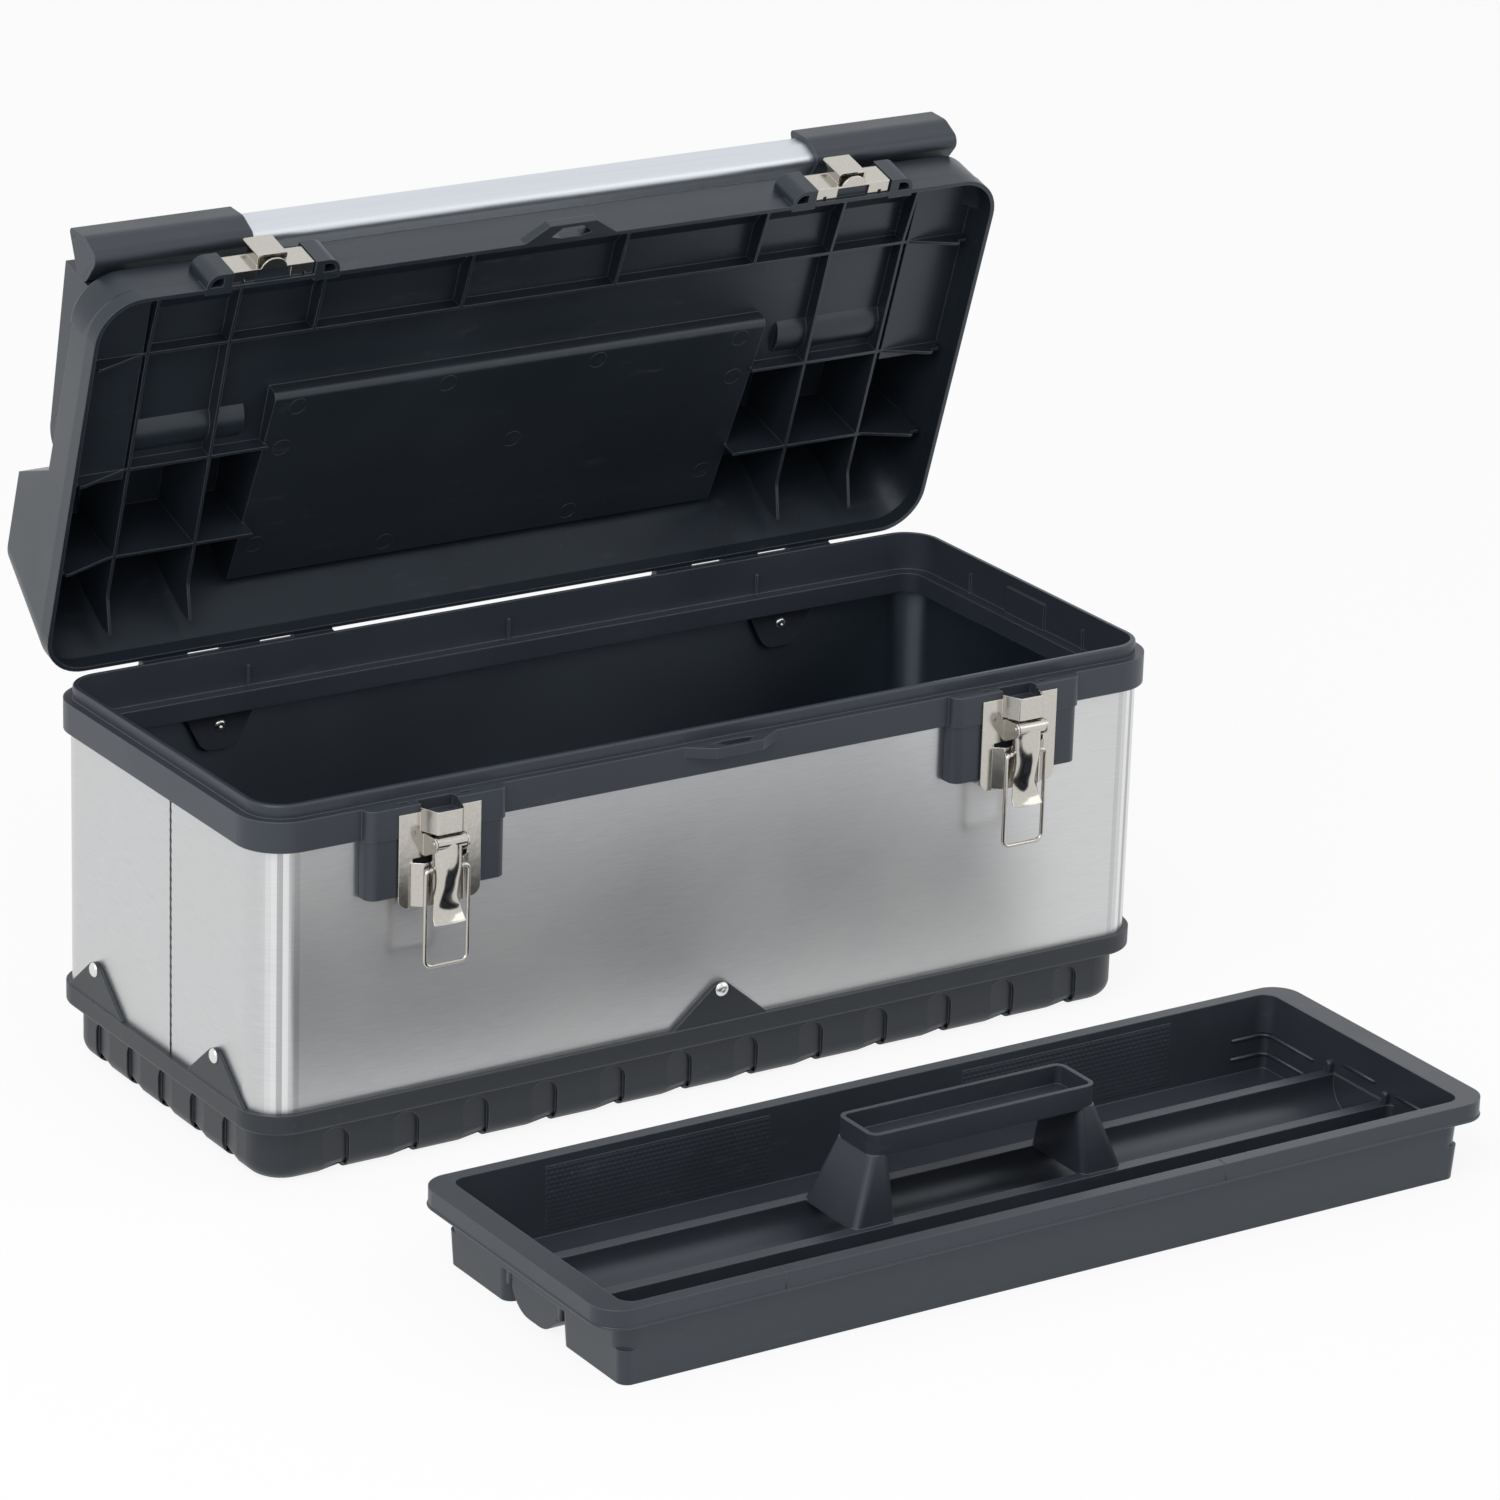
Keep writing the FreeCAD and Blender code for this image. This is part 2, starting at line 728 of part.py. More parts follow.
def steel_sleeve():
    """The rolled sheet wall with its lock seam and rivet holes."""
    piece = Piece("steel_sleeve")
    outer = centred(s.sleeve_end, s.sleeve_front, s.sleeve_corner)
    inner = centred(s.sleeve_end - s.sleeve_sheet, s.sleeve_front - s.sleeve_sheet,
                    s.sleeve_corner - s.sleeve_sheet)
    piece.pad("XY", s.base_seat, s.sleeve_top, outer, inner)
    strip_face = s.sleeve_end - s.sleeve_sheet
    strip_top = s.skirt_bottom - s.end_gap
    strip_half, slot_half = s.seam_strip / 2, s.seam_slot / 2
    piece.pad("XY", s.base_seat, strip_top,
              rectangle(-strip_face - s.sleeve_sheet / 2, -strip_face + s.sleeve_sheet,
                        s.seam_place - strip_half, s.seam_place + strip_half))
    piece.pocket("XY", s.base_seat - s.overrun, strip_top - s.overrun,
                 rectangle(-s.sleeve_end - s.overrun, -strip_face,
                           s.seam_place - slot_half, s.seam_place + slot_half))
    hole = s.rivet_shank + s.run_gap
    reach = s.sleeve_front + s.overrun
    piece.pocket("XZ", -reach, reach, circle(0, s.tab_rivet_z, hole),
                 circle(s.latch_place, s.inner_rivet_z, hole), circle(-s.latch_place, s.inner_rivet_z, hole))
    reach = s.sleeve_end + s.overrun
    piece.pocket("YZ", -reach, reach, circle(s.side_tab_place, s.tab_rivet_z, hole),
                 circle(-s.side_tab_place, s.tab_rivet_z, hole))
    keep("steel_sleeve", piece.body)


def eye_outline(front):
    """A padlock eye's trapezoid on a front face, with its slot widened in the middle."""
    root = -(front - s.collar_wall / 2)
    nose = -(front + s.eye_reach)
    plate = [(-s.eye_root, root), (-s.eye_root, -front), (-s.eye_nose, nose), (s.eye_nose, nose),
             (s.eye_root, -front), (s.eye_root, root)]
    slot_front = nose + s.eye_slot_edge
    slot_back = slot_front + s.eye_slot_width
    half, quarter = s.eye_slot_length / 2, s.eye_slot_length / 4
    belly = slot_front + s.eye_slot_belly
    slot = [(-half, slot_back), (-quarter, slot_front), (quarter, slot_front), (half, slot_back),
            (quarter, belly), (-quarter, belly)]
    return plate, slot


def knuckle_outline(web_low, web_high, wall):
    """A hinge knuckle's section: a round eye joined to its moulding by a web."""
    reach = s.hinge_y - s.pin_radius
    return [(wall, web_low), (reach, web_low), (reach, web_high), (wall, web_high)]


def hinge_knuckles(moulding, spans, web_low, web_high, wall):
    """Knuckles on both hinges, bored for their pins."""
    for side in (-1, 1):
        knuckles = moulding.add("hinge_knuckles")
        for low, high in spans:
            near_x, far_x = (low, high) if side > 0 else (-high, -low)
            knuckles.pad("YZ", near_x, far_x, knuckle_outline(web_low, web_high, wall))
            knuckles.pad("YZ", near_x, far_x, circle(s.hinge_y, s.hinge_z, s.knuckle_radius))
        low, high = s.hinge_start - s.overrun, s.hinge_end + s.overrun
        near_x, far_x = (low, high) if side > 0 else (-high, -low)
        moulding.cut("hinge_bore").pad("YZ", near_x, far_x,
                                       circle(s.hinge_y, s.hinge_z, s.pin_radius + s.run_gap))


def collar():
    """The rim moulding: it straddles the sleeve's top and carries latches, eye, hinges and tray."""
    moulding = Moulding("collar")
    piece = moulding.core
    piece.pad("XY", s.collar_bottom, s.collar_top, centred(s.collar_end, s.collar_front, s.collar_corner))
    piece.pad("XY", s.skirt_bottom, s.lip_top, centred(s.skirt_end, s.skirt_front, s.skirt_corner))
    outer, inner = s.fit_gap, -s.sleeve_sheet - s.fit_gap
    piece.pocket("XY", s.collar_bottom - s.overrun, s.sleeve_top,
                 centred(s.sleeve_end + outer, s.sleeve_front + outer, s.sleeve_corner + outer),
                 centred(s.sleeve_end + inner, s.sleeve_front + inner, s.sleeve_corner + inner))
    in_end, in_front = s.skirt_end - s.skirt_wall, s.skirt_front - s.skirt_wall
    in_corner = s.skirt_corner - s.skirt_wall
    piece.pocket("XY", s.shelf, s.lip_top + s.overrun, centred(in_end, in_front, in_corner))
    piece.pocket("XY", s.skirt_bottom - s.overrun, s.shelf,
                 centred(in_end - s.shelf_width, in_front - s.shelf_width, in_corner - s.shelf_width))
    piece.fillet(s.skirt_wall * LIP_ROUND_SHARE,
                 lambda edge: all_at(edge, "Z", s.lip_top) and not inner_edge(edge, in_end))
    collar_inner_tabs(moulding)
    collar_guides(moulding.add("tray_guides"), in_end, in_front)
    for side in (-1, 1):
        latch_pad(moulding, side)
    plate, slot = eye_outline(s.collar_front)
    moulding.add("eye").pad("XY", s.collar_top - s.eye_thick, s.collar_top, plate)
    moulding.cut("eye_slot").pad("XY", s.collar_top - s.eye_thick - s.overrun, s.collar_top + s.overrun, slot)
    wall = s.collar_front - s.collar_wall / 2
    spans = [(window + s.end_gap, window + s.window_width - s.end_gap)
             for window in (s.first_window, s.second_window)]
    hinge_knuckles(moulding, spans, s.hinge_z - s.knuckle_radius, s.collar_top - s.hinge_drop / 2, wall)
    keep("collar", moulding.finish())


def inner_edge(edge, half_length):
    """Whether an edge belongs to the lip's inner outline."""
    bounds = edge.BoundBox
    return max(abs(bounds.XMin), abs(bounds.XMax)) < half_length.number + s.fit_gap.number \
        and abs(edge.CenterOfMass.y) < s.skirt_front.number - s.skirt_wall.number / 2


def collar_inner_tabs(moulding):
    """Rounded tabs that hang inside the sleeve and are riveted to it."""
    top = s.skirt_bottom + s.skirt_wall
    foot = s.skirt_bottom - s.inner_tab_drop
    tabs, holes = moulding.add("inner_tabs"), moulding.cut("inner_tab_holes")
    for side in (-1, 1):
        low, high = (s.skirt_front - s.skirt_wall, s.skirt_front) if side > 0 \
            else (-s.skirt_front, s.skirt_wall - s.skirt_front)
        for place in (-s.latch_place, s.latch_place):
            wide, narrow = s.inner_tab_width / 2, s.inner_tab_foot / 2
            tabs.pad("XZ", low, high, [(place - wide, top), (place - wide, s.skirt_bottom),
                                       (place - narrow, foot, s.inner_tab_nose),
                                       (place + narrow, foot, s.inner_tab_nose),
                                       (place + wide, s.skirt_bottom), (place + wide, top)])
            holes.pad("XZ", low - s.overrun, high + s.overrun,
                      circle(place, s.inner_rivet_z, s.rivet_shank + s.run_gap))


def collar_guides(piece, in_end, in_front):
    """Small upright ribs and end patches above the shelf, which guide the tray."""
    low, high = s.shelf - s.overrun, s.shelf + s.guide_rib_height
    half = s.guide_rib_thick / 2
    deep = s.guide_rib_depth
    for place in (-s.back_rib_pitch, as_size(0), s.back_rib_pitch):
        for face in (in_front, -in_front):
            piece.pad("XY", low, high, rectangle(place - half, place + half, face - deep, face + deep))
    for face in (in_end, -in_end):
        near_x, far_x = face - deep, face + deep
        for place in (-s.end_rib_place, s.end_rib_place):
            piece.pad("XY", low, high, rectangle(near_x, far_x, place - half, place + half))
        piece.pad("XY", low, s.shelf + s.end_patch_height,
                  rectangle(near_x, far_x, -s.end_patch_width / 2, s.end_patch_width / 2))


def latch_pad(moulding, side):
    """A latch's pad on the collar's front, notched at its top and hollowed behind for a rivet."""
    place = side * s.latch_place
    half = s.pad_width / 2
    back = -(s.sleeve_front + s.fit_gap)
    pad_bottom = s.collar_top - s.pad_drop
    block, hollows = moulding.add("latch_pad"), moulding.cut("latch_pad_hollows")
    for low, high, step in ((s.collar_bottom, s.collar_top, as_size(0)),
                            (pad_bottom, s.collar_bottom, s.pad_step)):
        front = step - s.pad_front
        block.pad("XY", low, high, [(place - half + step, back), (place - half + step, front, s.pad_round),
                                    (place + half - step, front, s.pad_round), (place + half - step, back)])
    notch = s.pad_notch / 2
    hollows.pad("XY", s.collar_top - s.pad_notch_depth, s.collar_top + s.overrun,
                rectangle(place - notch, place + notch, -s.pad_front - s.overrun,
                          s.pad_notch_reach - s.pad_front))
    hole_y = -s.collar_front - s.pad_reach / 4
    for hand in (-1, 1):
        hole_x = place + hand * s.pad_hole_place
        hollows.pad("XY", s.collar_top - s.pad_hole_depth, s.collar_top + s.overrun,
                    rectangle(hole_x - s.pad_hole_length / 2, hole_x + s.pad_hole_length / 2,
                              hole_y - s.pad_hole_width / 2, hole_y + s.pad_hole_width / 2))
    hollows.pad("XZ", back - s.rivet_dome - s.end_gap, back + s.sleeve_sheet,
                circle(place, s.inner_rivet_z, s.rivet_head + s.end_gap))


def rivet_master(grip):
    """A rivet along +Z: a low cone-edged head above zero and a shank below it."""
    piece = Piece("rivet")
    dome = s.rivet_dome
    flat = s.rivet_head - dome
    sketch = piece.sketch("XZ", as_size(0), [[(0, -grip), (s.rivet_shank, -grip), (s.rivet_shank, 0),
                                              (s.rivet_head, 0), (flat, dome), (0, dome)]])
    feature = piece.body.newObject("PartDesign::Revolution", "turn")
    feature.Profile = sketch
    feature.ReferenceAxis = (sketch, ["V_Axis"])
    piece.body.Tip = feature
    return piece.body


def rivet_group(label, master, places):
    """Copies of the rivet, each with its head's seat at a place and its head towards a direction."""
    doc.recompute()
    group = doc.addObject("Part::Feature", label)
    rivets = []
    for place, direction in places:
        rivet = master.Shape.copy()
        turn = FreeCAD.Rotation(FreeCAD.Vector(0, 0, 1), FreeCAD.Vector(*direction))
        rivet.Placement = FreeCAD.Placement(FreeCAD.Vector(*[as_size(v).number for v in place]), turn)
        rivets.append(rivet)
    group.Shape = Part.makeCompound(rivets)
    keep(label, group)


def rivets():
    """Rivets of the base's tabs and of the collar's inner tabs."""
    master = rivet_master(s.tab_thick + s.fit_gap + s.sleeve_sheet)
    front = s.sleeve_front + s.fit_gap + s.tab_thick
    end = s.sleeve_end + s.fit_gap + s.tab_thick
    places = [((0, side * front, s.tab_rivet_z), (0, side, 0)) for side in (-1, 1)]
    for side in (-1, 1):
        for hand in (-1, 1):
            places.append(((side * end, hand * s.side_tab_place, s.tab_rivet_z), (side, 0, 0)))
    rivet_group("base_rivets", master, places)
    master = rivet_master(s.sleeve_sheet + s.fit_gap + s.skirt_wall)
    places = []
    for side in (-1, 1):
        for hand in (-1, 1):
            places.append(((hand * s.latch_place, side * s.sleeve_front, s.inner_rivet_z), (0, side, 0)))
    rivet_group("collar_rivets", master, places)


def cylinder_along_x(label, radius, low, high, centre_y, centre_z):
    """A round pin along X."""
    pin = doc.addObject("Part::Cylinder", label)
    pin.setExpression("Radius", radius.formula)
    pin.setExpression("Height", (high - low).formula)
    pin.setExpression("Placement", "placement(vector(%s; %s; %s); rotation(vector(0; 1; 0); 90))"
                      % (low.formula, centre_y.formula, centre_z.formula))
    keep(label, pin)
    return pin


def hinge_pins():
    """One wire pin through each hinge's knuckles."""
    cylinder_along_x("hinge_pin_left", s.pin_radius, -s.hinge_end, -s.hinge_start, s.hinge_y, s.hinge_z)
    cylinder_along_x("hinge_pin_right", s.pin_radius, s.hinge_start, s.hinge_end, s.hinge_y, s.hinge_z)


def latch_plate(label, side):
    """A latch's pressed plate: flanges, a hollow hump, a low ridge, two ears for the pin and a foot."""
    piece = Piece(label)
    place = side * s.latch_place
    half, sheet_in = s.plate_width / 2, s.plate_sheet
    face = -s.plate_face
    back = face + sheet_in
    top, bottom = s.plate_top, s.plate_top - s.plate_height
    piece.pad("XZ", face, back, [(place - half, top), (place - half, bottom, s.plate_corner),
                                 (place + half, bottom, s.plate_corner), (place + half, top)])
    foot_half = half - s.plate_corner
    piece.pad("XY", bottom, bottom + sheet_in,
              rectangle(place - foot_half, place + foot_half, face, face + s.plate_fold))
    hump_top = top + s.hump_rise
    for low, high, base, crown, reach in (
            (hump_top - s.hump_height, hump_top, s.hump_base / 2, s.hump_crown / 2, s.hump_reach),
            (bottom + sheet_in, bottom + s.ridge_height, s.ridge_base / 2, s.ridge_crown / 2, s.ridge_reach)):
        front = face - reach
        piece.pad("XY", low, high, [(place - base, back), (place - base, face),
                                    (place - crown, front, s.hump_round), (place + crown, front, s.hump_round),
                                    (place + base, face), (place + base, back)])
        base, crown, front = base - sheet_in, crown - sheet_in, front + sheet_in
        piece.pocket("XY", low - (s.overrun if reach is s.hump_reach else -sheet_in), high + s.overrun,
                     [(place - base, back + s.overrun), (place - base, face), (place - crown, front),
                      (place + crown, front), (place + base, face), (place + base, back + s.overrun)])
    inner = s.lever_width / 2 + s.ear_gap
    pin_y, pin_z = -s.lever_pin_y, s.lever_pin_z
    nose, above, below = pin_y - s.ear_nose, pin_z + s.ear_nose, pin_z - s.ear_nose
    ear = [(back, below - s.ear_foot_drop + s.ear_nose), (back, above), (nose, above, s.ear_nose),
           (nose, below, s.ear_nose), (face - s.ear_foot, below - s.ear_foot_drop + s.ear_nose)]
    for low, high in ((place - inner - sheet_in, place - inner), (place + inner, place + inner + sheet_in)):
        piece.pad("YZ", low, high, ear)
        piece.pocket("YZ", low - s.ear_gap, high + s.ear_gap,
                     circle(pin_y, pin_z, s.lever_pin_radius + s.run_gap / 2))
    keep(label, piece.body)


def lever_pin(label, side):
    """The pin that a latch lever turns on, held by the plate's ears."""
    place = side * s.latch_place
    half = s.lever_width / 2 + s.ear_gap + s.plate_sheet + s.lever_pin_head
    cylinder_along_x(label, s.lever_pin_radius, place - half, place + half, -s.lever_pin_y, s.lever_pin_z)


def lever_section(place, drop, half, crown, edge):
    """A level section of the lever: a curved strip, open to the plate, as deep as its edges reach back."""
    sheet_in = s.lever_sheet.number
    level = s.lever_pin_z.number - drop
    pin_y = -s.lever_pin_y.number
    steep = min(1, (crown - edge) / half)
    inner, inner_edge_y = half - sheet_in * steep, edge - sheet_in * (1 - steep)
    left = [(-half, edge), (0, crown), (half, edge)]
    right = [(inner, inner_edge_y), (0, crown - sheet_in), (-inner, inner_edge_y)]
    outer, inside = [[FreeCAD.Vector(place + x, pin_y - y, level) for x, y in row] for row in (left, right)]
    return Part.Wire([Part.Arc(*outer).toShape(), Part.makeLine(outer[2], inside[0]),
                      Part.Arc(*inside).toShape(), Part.makeLine(inside[2], outer[0])])


def latch_lever(label, side):
    """A latch's lever: a rolled head on the pin and a curved, waisted blade with a flared end."""
    place = side * s.latch_place.number
    half, depth = s.lever_width.number / 2, s.lever_depth.number
    rows = [(drop * s.lever_length.number, wide * half, crown * depth, edge * depth)
            for drop, wide, crown, edge in LEVER_SHARES]
    blade = Part.makeLoft([lever_section(place, *row) for row in rows], True, False)
    along = FreeCAD.Vector(1, 0, 0)
    pin = FreeCAD.Vector(place - half, -s.lever_pin_y.number, s.lever_pin_z.number)
    head = Part.makeCylinder(s.lever_head.number, 2 * half, pin, along)
    over = along * s.overrun.number
    length = 2 * (half + s.overrun.number)
    bore = Part.makeCylinder(s.lever_pin_radius.number + s.run_gap.number, length, pin - over, along)
    bail = FreeCAD.Vector(place - half, -s.bail_y.number, s.bail_z.number)
    holes = Part.makeCylinder(s.bail_wire.number + s.run_gap.number, length, bail - over, along)
    lever = doc.addObject("Part::Feature", label)
    lever.Shape = blade.fuse(head).cut(bore).cut(holes)
    keep(label, lever)


def latch_bail(label, side):
    """A latch's wire bail: a rounded loop whose two ends turn inward into the lever's edges."""
    place = side * s.latch_place.number
    wire = s.bail_wire.number
    half = s.bail_width.number / 2 - wire
    end = s.lever_width.number / 2 - 2 * s.lever_sheet.number
    corner = s.bail_corner.number
    top = s.bail_z.number
    low = top - s.bail_length.number
    depth = -s.bail_y.number
    spots = [(end, top), (half, top), (half, low), (-half, low), (-half, top), (-end, top)]
    points = [FreeCAD.Vector(place + x, depth, z) for x, z in spots]
    path = rounded_path(points, [wire * 2, corner, corner, wire * 2])
    turns = [2 * pi * index / WIRE_SIDES for index in range(WIRE_SIDES)] + [0]
    section = Part.makePolygon([points[0] + FreeCAD.Vector(0, wire * cos(turn), wire * sin(turn))
                                for turn in turns])
    bail = doc.addObject("Part::Feature", label)
    bail.Shape = path.makePipeShell([section], True, False)
    keep(label, bail)


def rounded_path(points, radii):
    """A path of straight runs through points, with an arc of a given radius at each inner point."""
    edges = []
    last = points[0]
    for index, radius in enumerate(radii, start=1):
        place = points[index]
        back = (points[index - 1] - place).normalize()
        ahead = (points[index + 1] - place).normalize()
        half_turn = back.getAngle(ahead) / 2
        start = place + back * (radius / tan(half_turn))
        end = place + ahead * (radius / tan(half_turn))
        middle = (back + ahead).normalize()
        crown = place + middle * (radius / sin(half_turn) - radius)
        edges.append(Part.makeLine(last, start))
        edges.append(Part.Arc(start, crown, end).toShape())
        last = end
    edges.append(Part.makeLine(last, points[-1]))
    return Part.Wire(edges)


def lid_block(label, inset, low):
    """The lid's outer form, or its cavity when inset by the wall: a drafted box with a low front."""
    piece = Piece(label)
    end, corner = s.collar_end - inset, s.collar_corner - inset
    rear = lid_y(as_size(0)) - inset
    front = lid_y(s.lid_depth) + inset
    top = lid_z(s.lid_top_height) - inset
    top_end = s.collar_end - s.lid_end_lean - inset
    top_corner = s.lid_top_corner - inset
    top_rear = lid_y(s.lid_back_lean) - inset
    shoulder = lid_z(s.lid_rim_height)
    piece.loft((low, rectangle(-end, end, front, rear, corner)),
               (shoulder, rectangle(-end, end, front, rear, corner)),
               (top, rectangle(-top_end, top_end, front + s.lid_back_lean, top_rear, top_corner)))
    over = top + s.overrun
    reach = s.collar_end + s.overrun
    ahead = front - s.overrun
    piece.pocket("YZ", -reach, reach, [(lid_y(s.block_front) + inset, over),
                                       (lid_y(s.block_front) + inset, top),
                                       (lid_y(s.deck_start) + inset, lid_z(s.deck_height) - inset),
                                       (lid_y(s.deck_end), lid_z(s.deck_front_height) - inset),
                                       (lid_y(s.brow_place) + inset, lid_z(s.brow_height) - inset),
                                       (front, shoulder), (ahead, shoulder), (ahead, over)])
    return piece


def lid_shell():
    """The lid moulding: a stepped shell with a well, arm channels, ribs, bosses, lugs and knuckles."""
    core = lid_block("lid_block", as_size(0), s.lid_bottom)
    core.combine("Cut", lid_block("lid_cavity", s.lid_wall, s.lid_bottom - s.overrun))
    moulding = Moulding("lid_shell", core)
    lid_channels(moulding)
    lid_well(moulding)
    lid_ribs(moulding)
    lid_bosses(moulding)
    lid_front_lugs(moulding)
    wall = lid_y(s.lid_wall / 2)
    spans = [(s.hinge_start, s.first_window), (s.first_window + s.window_width, s.second_window),
             (s.second_window + s.window_width, s.hinge_end)]
    hinge_knuckles(moulding, spans, s.lid_bottom, s.hinge_z + s.knuckle_radius, wall)
    lid = moulding.finish()
    turned_with_lid(lid)
    keep("lid_shell", lid)


def lid_channels(moulding):
    """Channels in the lid's front deck that the handle's arms lie in, with their floors inside."""
    floor = lid_z(s.channel_floor)
    half_wall = s.lid_wall / 2
    start, far = lid_y(s.channel_start), lid_y(s.deck_end)
    floors, trenches = moulding.add("channel_floors"), moulding.cut("channels")
    for side in (-1, 1):
        low, high = s.channel_inner, s.channel_outer
        far_x = s.collar_end + s.overrun
        block = (low - s.lid_wall, far_x) if side > 0 else (-far_x, s.lid_wall - low)
        trench = (low, high) if side > 0 else (-high, -low)
        brow = lid_y(s.brow_place) + s.lid_wall
        floors.pad("YZ", *block, [(start + s.lid_wall, floor - s.lid_wall),
                                  (start + s.lid_wall, lid_z(s.deck_height)),
                                  (lid_y(s.deck_start), lid_z(s.deck_height) - half_wall),
                                  (far, lid_z(s.deck_front_height) - half_wall),
                                  (brow, lid_z(s.brow_height)), (brow, floor - s.lid_wall)])
        over = lid_z(s.lid_top_height) + s.overrun
        trenches.pad("YZ", *trench, [(start, floor), (start, over), (lid_y(s.lid_depth), over),
                                     (lid_y(s.lid_depth), floor)])
    floors.combine("Common", lid_block("lid_limit", as_size(0), s.lid_bottom))


def lid_well(moulding):
    """The well in the lid's top: its floor slopes down to the front, under the folded grip."""
    half = s.well_half
    wall = s.lid_wall
    mid = wall / 2
    front, back = s.well_front, s.well_back
    top = s.lid_top_height
    bulge = [(lid_y(front), lid_z(s.well_front_floor), s.well_round),
             (lid_y(front), lid_z(s.deck_height) - mid), (lid_y(s.deck_start), lid_z(s.deck_height) - mid),
             (lid_y(s.block_front), lid_z(top) - mid), (lid_y(back + s.well_back_lean), lid_z(top) - mid),
             (lid_y(back), lid_z(s.well_back_floor))]
    moulding.add("well_bulge").pad("YZ", -half, half, bulge)
    hollow = [(lid_y(front - wall), lid_z(s.well_front_floor) + wall, s.well_round),
              (lid_y(front - wall), lid_z(top) + s.overrun),
              (lid_y(back + s.well_back_lean), lid_z(top) + s.overrun),
              (lid_y(back + s.well_back_lean), lid_z(top)),
              (lid_y(back + wall), lid_z(s.well_back_floor) + wall, s.well_round)]
    moulding.cut("well").pad("YZ", wall - half, half - wall, hollow)


def rib_profile(foot):
    """A cross rib's outline from its straight edge up to the lid's ceiling."""
    mid = s.lid_wall / 2
    edge = lid_z(s.rib_edge)
    return [(lid_y(s.long_rib_place), edge), (lid_y(s.long_rib_place), lid_z(s.deck_front_height) - mid),
            (lid_y(s.deck_start), lid_z(s.deck_height) - mid),
            (lid_y(s.block_front), lid_z(s.lid_top_height) - mid),
            (lid_y(s.lid_back_lean + s.lid_wall), lid_z(s.lid_back_height) - mid), (lid_y(foot), edge),
            (lid_y(foot), lid_z(s.fin_edge)),
            (lid_y(foot + s.back_rib_place * RIB_TOE_SHARE), edge, s.fin_round)]


def finned_rib(side, start, ceiling):
    """A long rib's outline from a start to an end wall: its edge sweeps down to a notched tip."""
    edge, tip_edge = lid_z(s.rib_edge), lid_z(s.fin_edge)
    outer = s.collar_end - s.lid_end_lean
    knee, tip = s.collar_end - s.fin_knee_inset, s.collar_end - s.fin_tip_inset
    notch = s.fin_notch
    corners = [(start, ceiling), (start, edge), (knee, edge, s.fin_round), (tip - notch, tip_edge),
               (tip, tip_edge), (tip, tip_edge + notch), (outer, tip_edge + notch), (outer, ceiling)]
    return [(side * corner[0],) + corner[1:] for corner in corners]


def lid_ribs(moulding):
    """Stiffening ribs under the lid's ceiling, with small gussets on its front wall."""
    mid = s.lid_wall / 2
    edge = lid_z(s.rib_edge)
    thin = s.rib_thick / 2
    front_top = lid_z(s.deck_front_height) - s.lid_wall
    brow_y, long_y = lid_y(s.brow_place - s.lid_wall), lid_y(s.long_rib_place)
    front_rib = [(long_y, edge), (long_y, front_top + mid), (lid_y(s.deck_end), front_top),
                 (brow_y, lid_z(s.brow_height)), (brow_y, lid_z(s.brow_height) - s.lid_wall)]
    piece = moulding.add("lid_ribs")
    reach = s.cross_rib_three
    piece.pad("XZ", long_y - thin, long_y + thin, rectangle(-reach, reach, edge, front_top + mid))
    for place in (s.cross_rib_two, s.cross_rib_three):
        for side in (-1, 1):
            low = side * place - thin
            piece.pad("YZ", low, low + s.rib_thick, rib_profile(s.fin_rib_foot))
    for place in (s.cross_rib_one, s.cross_rib_two, s.cross_rib_three, s.front_rib_pitch):
        for side in (-1, 1):
            low = side * place - thin
            piece.pad("YZ", low, low + s.rib_thick, front_rib)
    floor = lid_z(s.channel_floor) - mid
    for place, start, ceiling in ((s.long_rib_place, s.cross_rib_three, floor),
                                  (s.mid_rib_place, s.well_half - mid, floor),
                                  (s.back_rib_place, s.well_half - mid, lid_z(s.lid_top_height) - mid)):
        at = lid_y(place)
        for side in (-1, 1):
            piece.pad("XZ", at - thin, at + thin, finned_rib(side, start, ceiling))
    deck = lid_z(s.deck_height) - mid
    at = lid_y(s.mid_rib_place)
    for low, high in ((s.well_half - mid, s.channel_inner), (-s.channel_inner, mid - s.well_half)):
        piece.pad("XZ", at - thin, at + thin, rectangle(low, high, edge, deck))
    wall = lid_y(s.lid_depth) + mid
    gusset = [(wall, lid_z(s.gusset_edge)), (wall + s.gusset_depth, edge), (wall, edge)]
    for place in (-s.latch_place, -s.rib_end_step, s.rib_end_step, s.latch_place):
        piece.pad("YZ", place - thin, place + thin, gusset)


def lid_bosses(moulding):
    """Bearing bosses on the deck for the handle's pivot pins."""
    pivot_y, pivot_z = lid_y(s.handle_pivot_place), lid_z(s.handle_pivot_height)
    deck = lid_z(s.deck_height) - s.lid_wall
    low, high = s.pivot_boss_inner, s.channel_inner - s.fit_gap
    piece, bores = moulding.add("pivot_bosses"), moulding.cut("pivot_bores")
    for side in (-1, 1):
        near_x, far_x = (low, high) if side > 0 else (-high, -low)
        piece.pad("YZ", near_x, far_x, circle(pivot_y, pivot_z, s.pivot_boss_radius))
        piece.pad("YZ", near_x, far_x, rectangle(pivot_y - s.pivot_boss_radius, pivot_y + s.pivot_boss_radius,
                                                 deck, pivot_z))
        bores.pad("YZ", near_x - s.overrun, far_x + s.overrun,
                  circle(pivot_y, pivot_z, s.pivot_pin_radius + s.run_gap / 2))


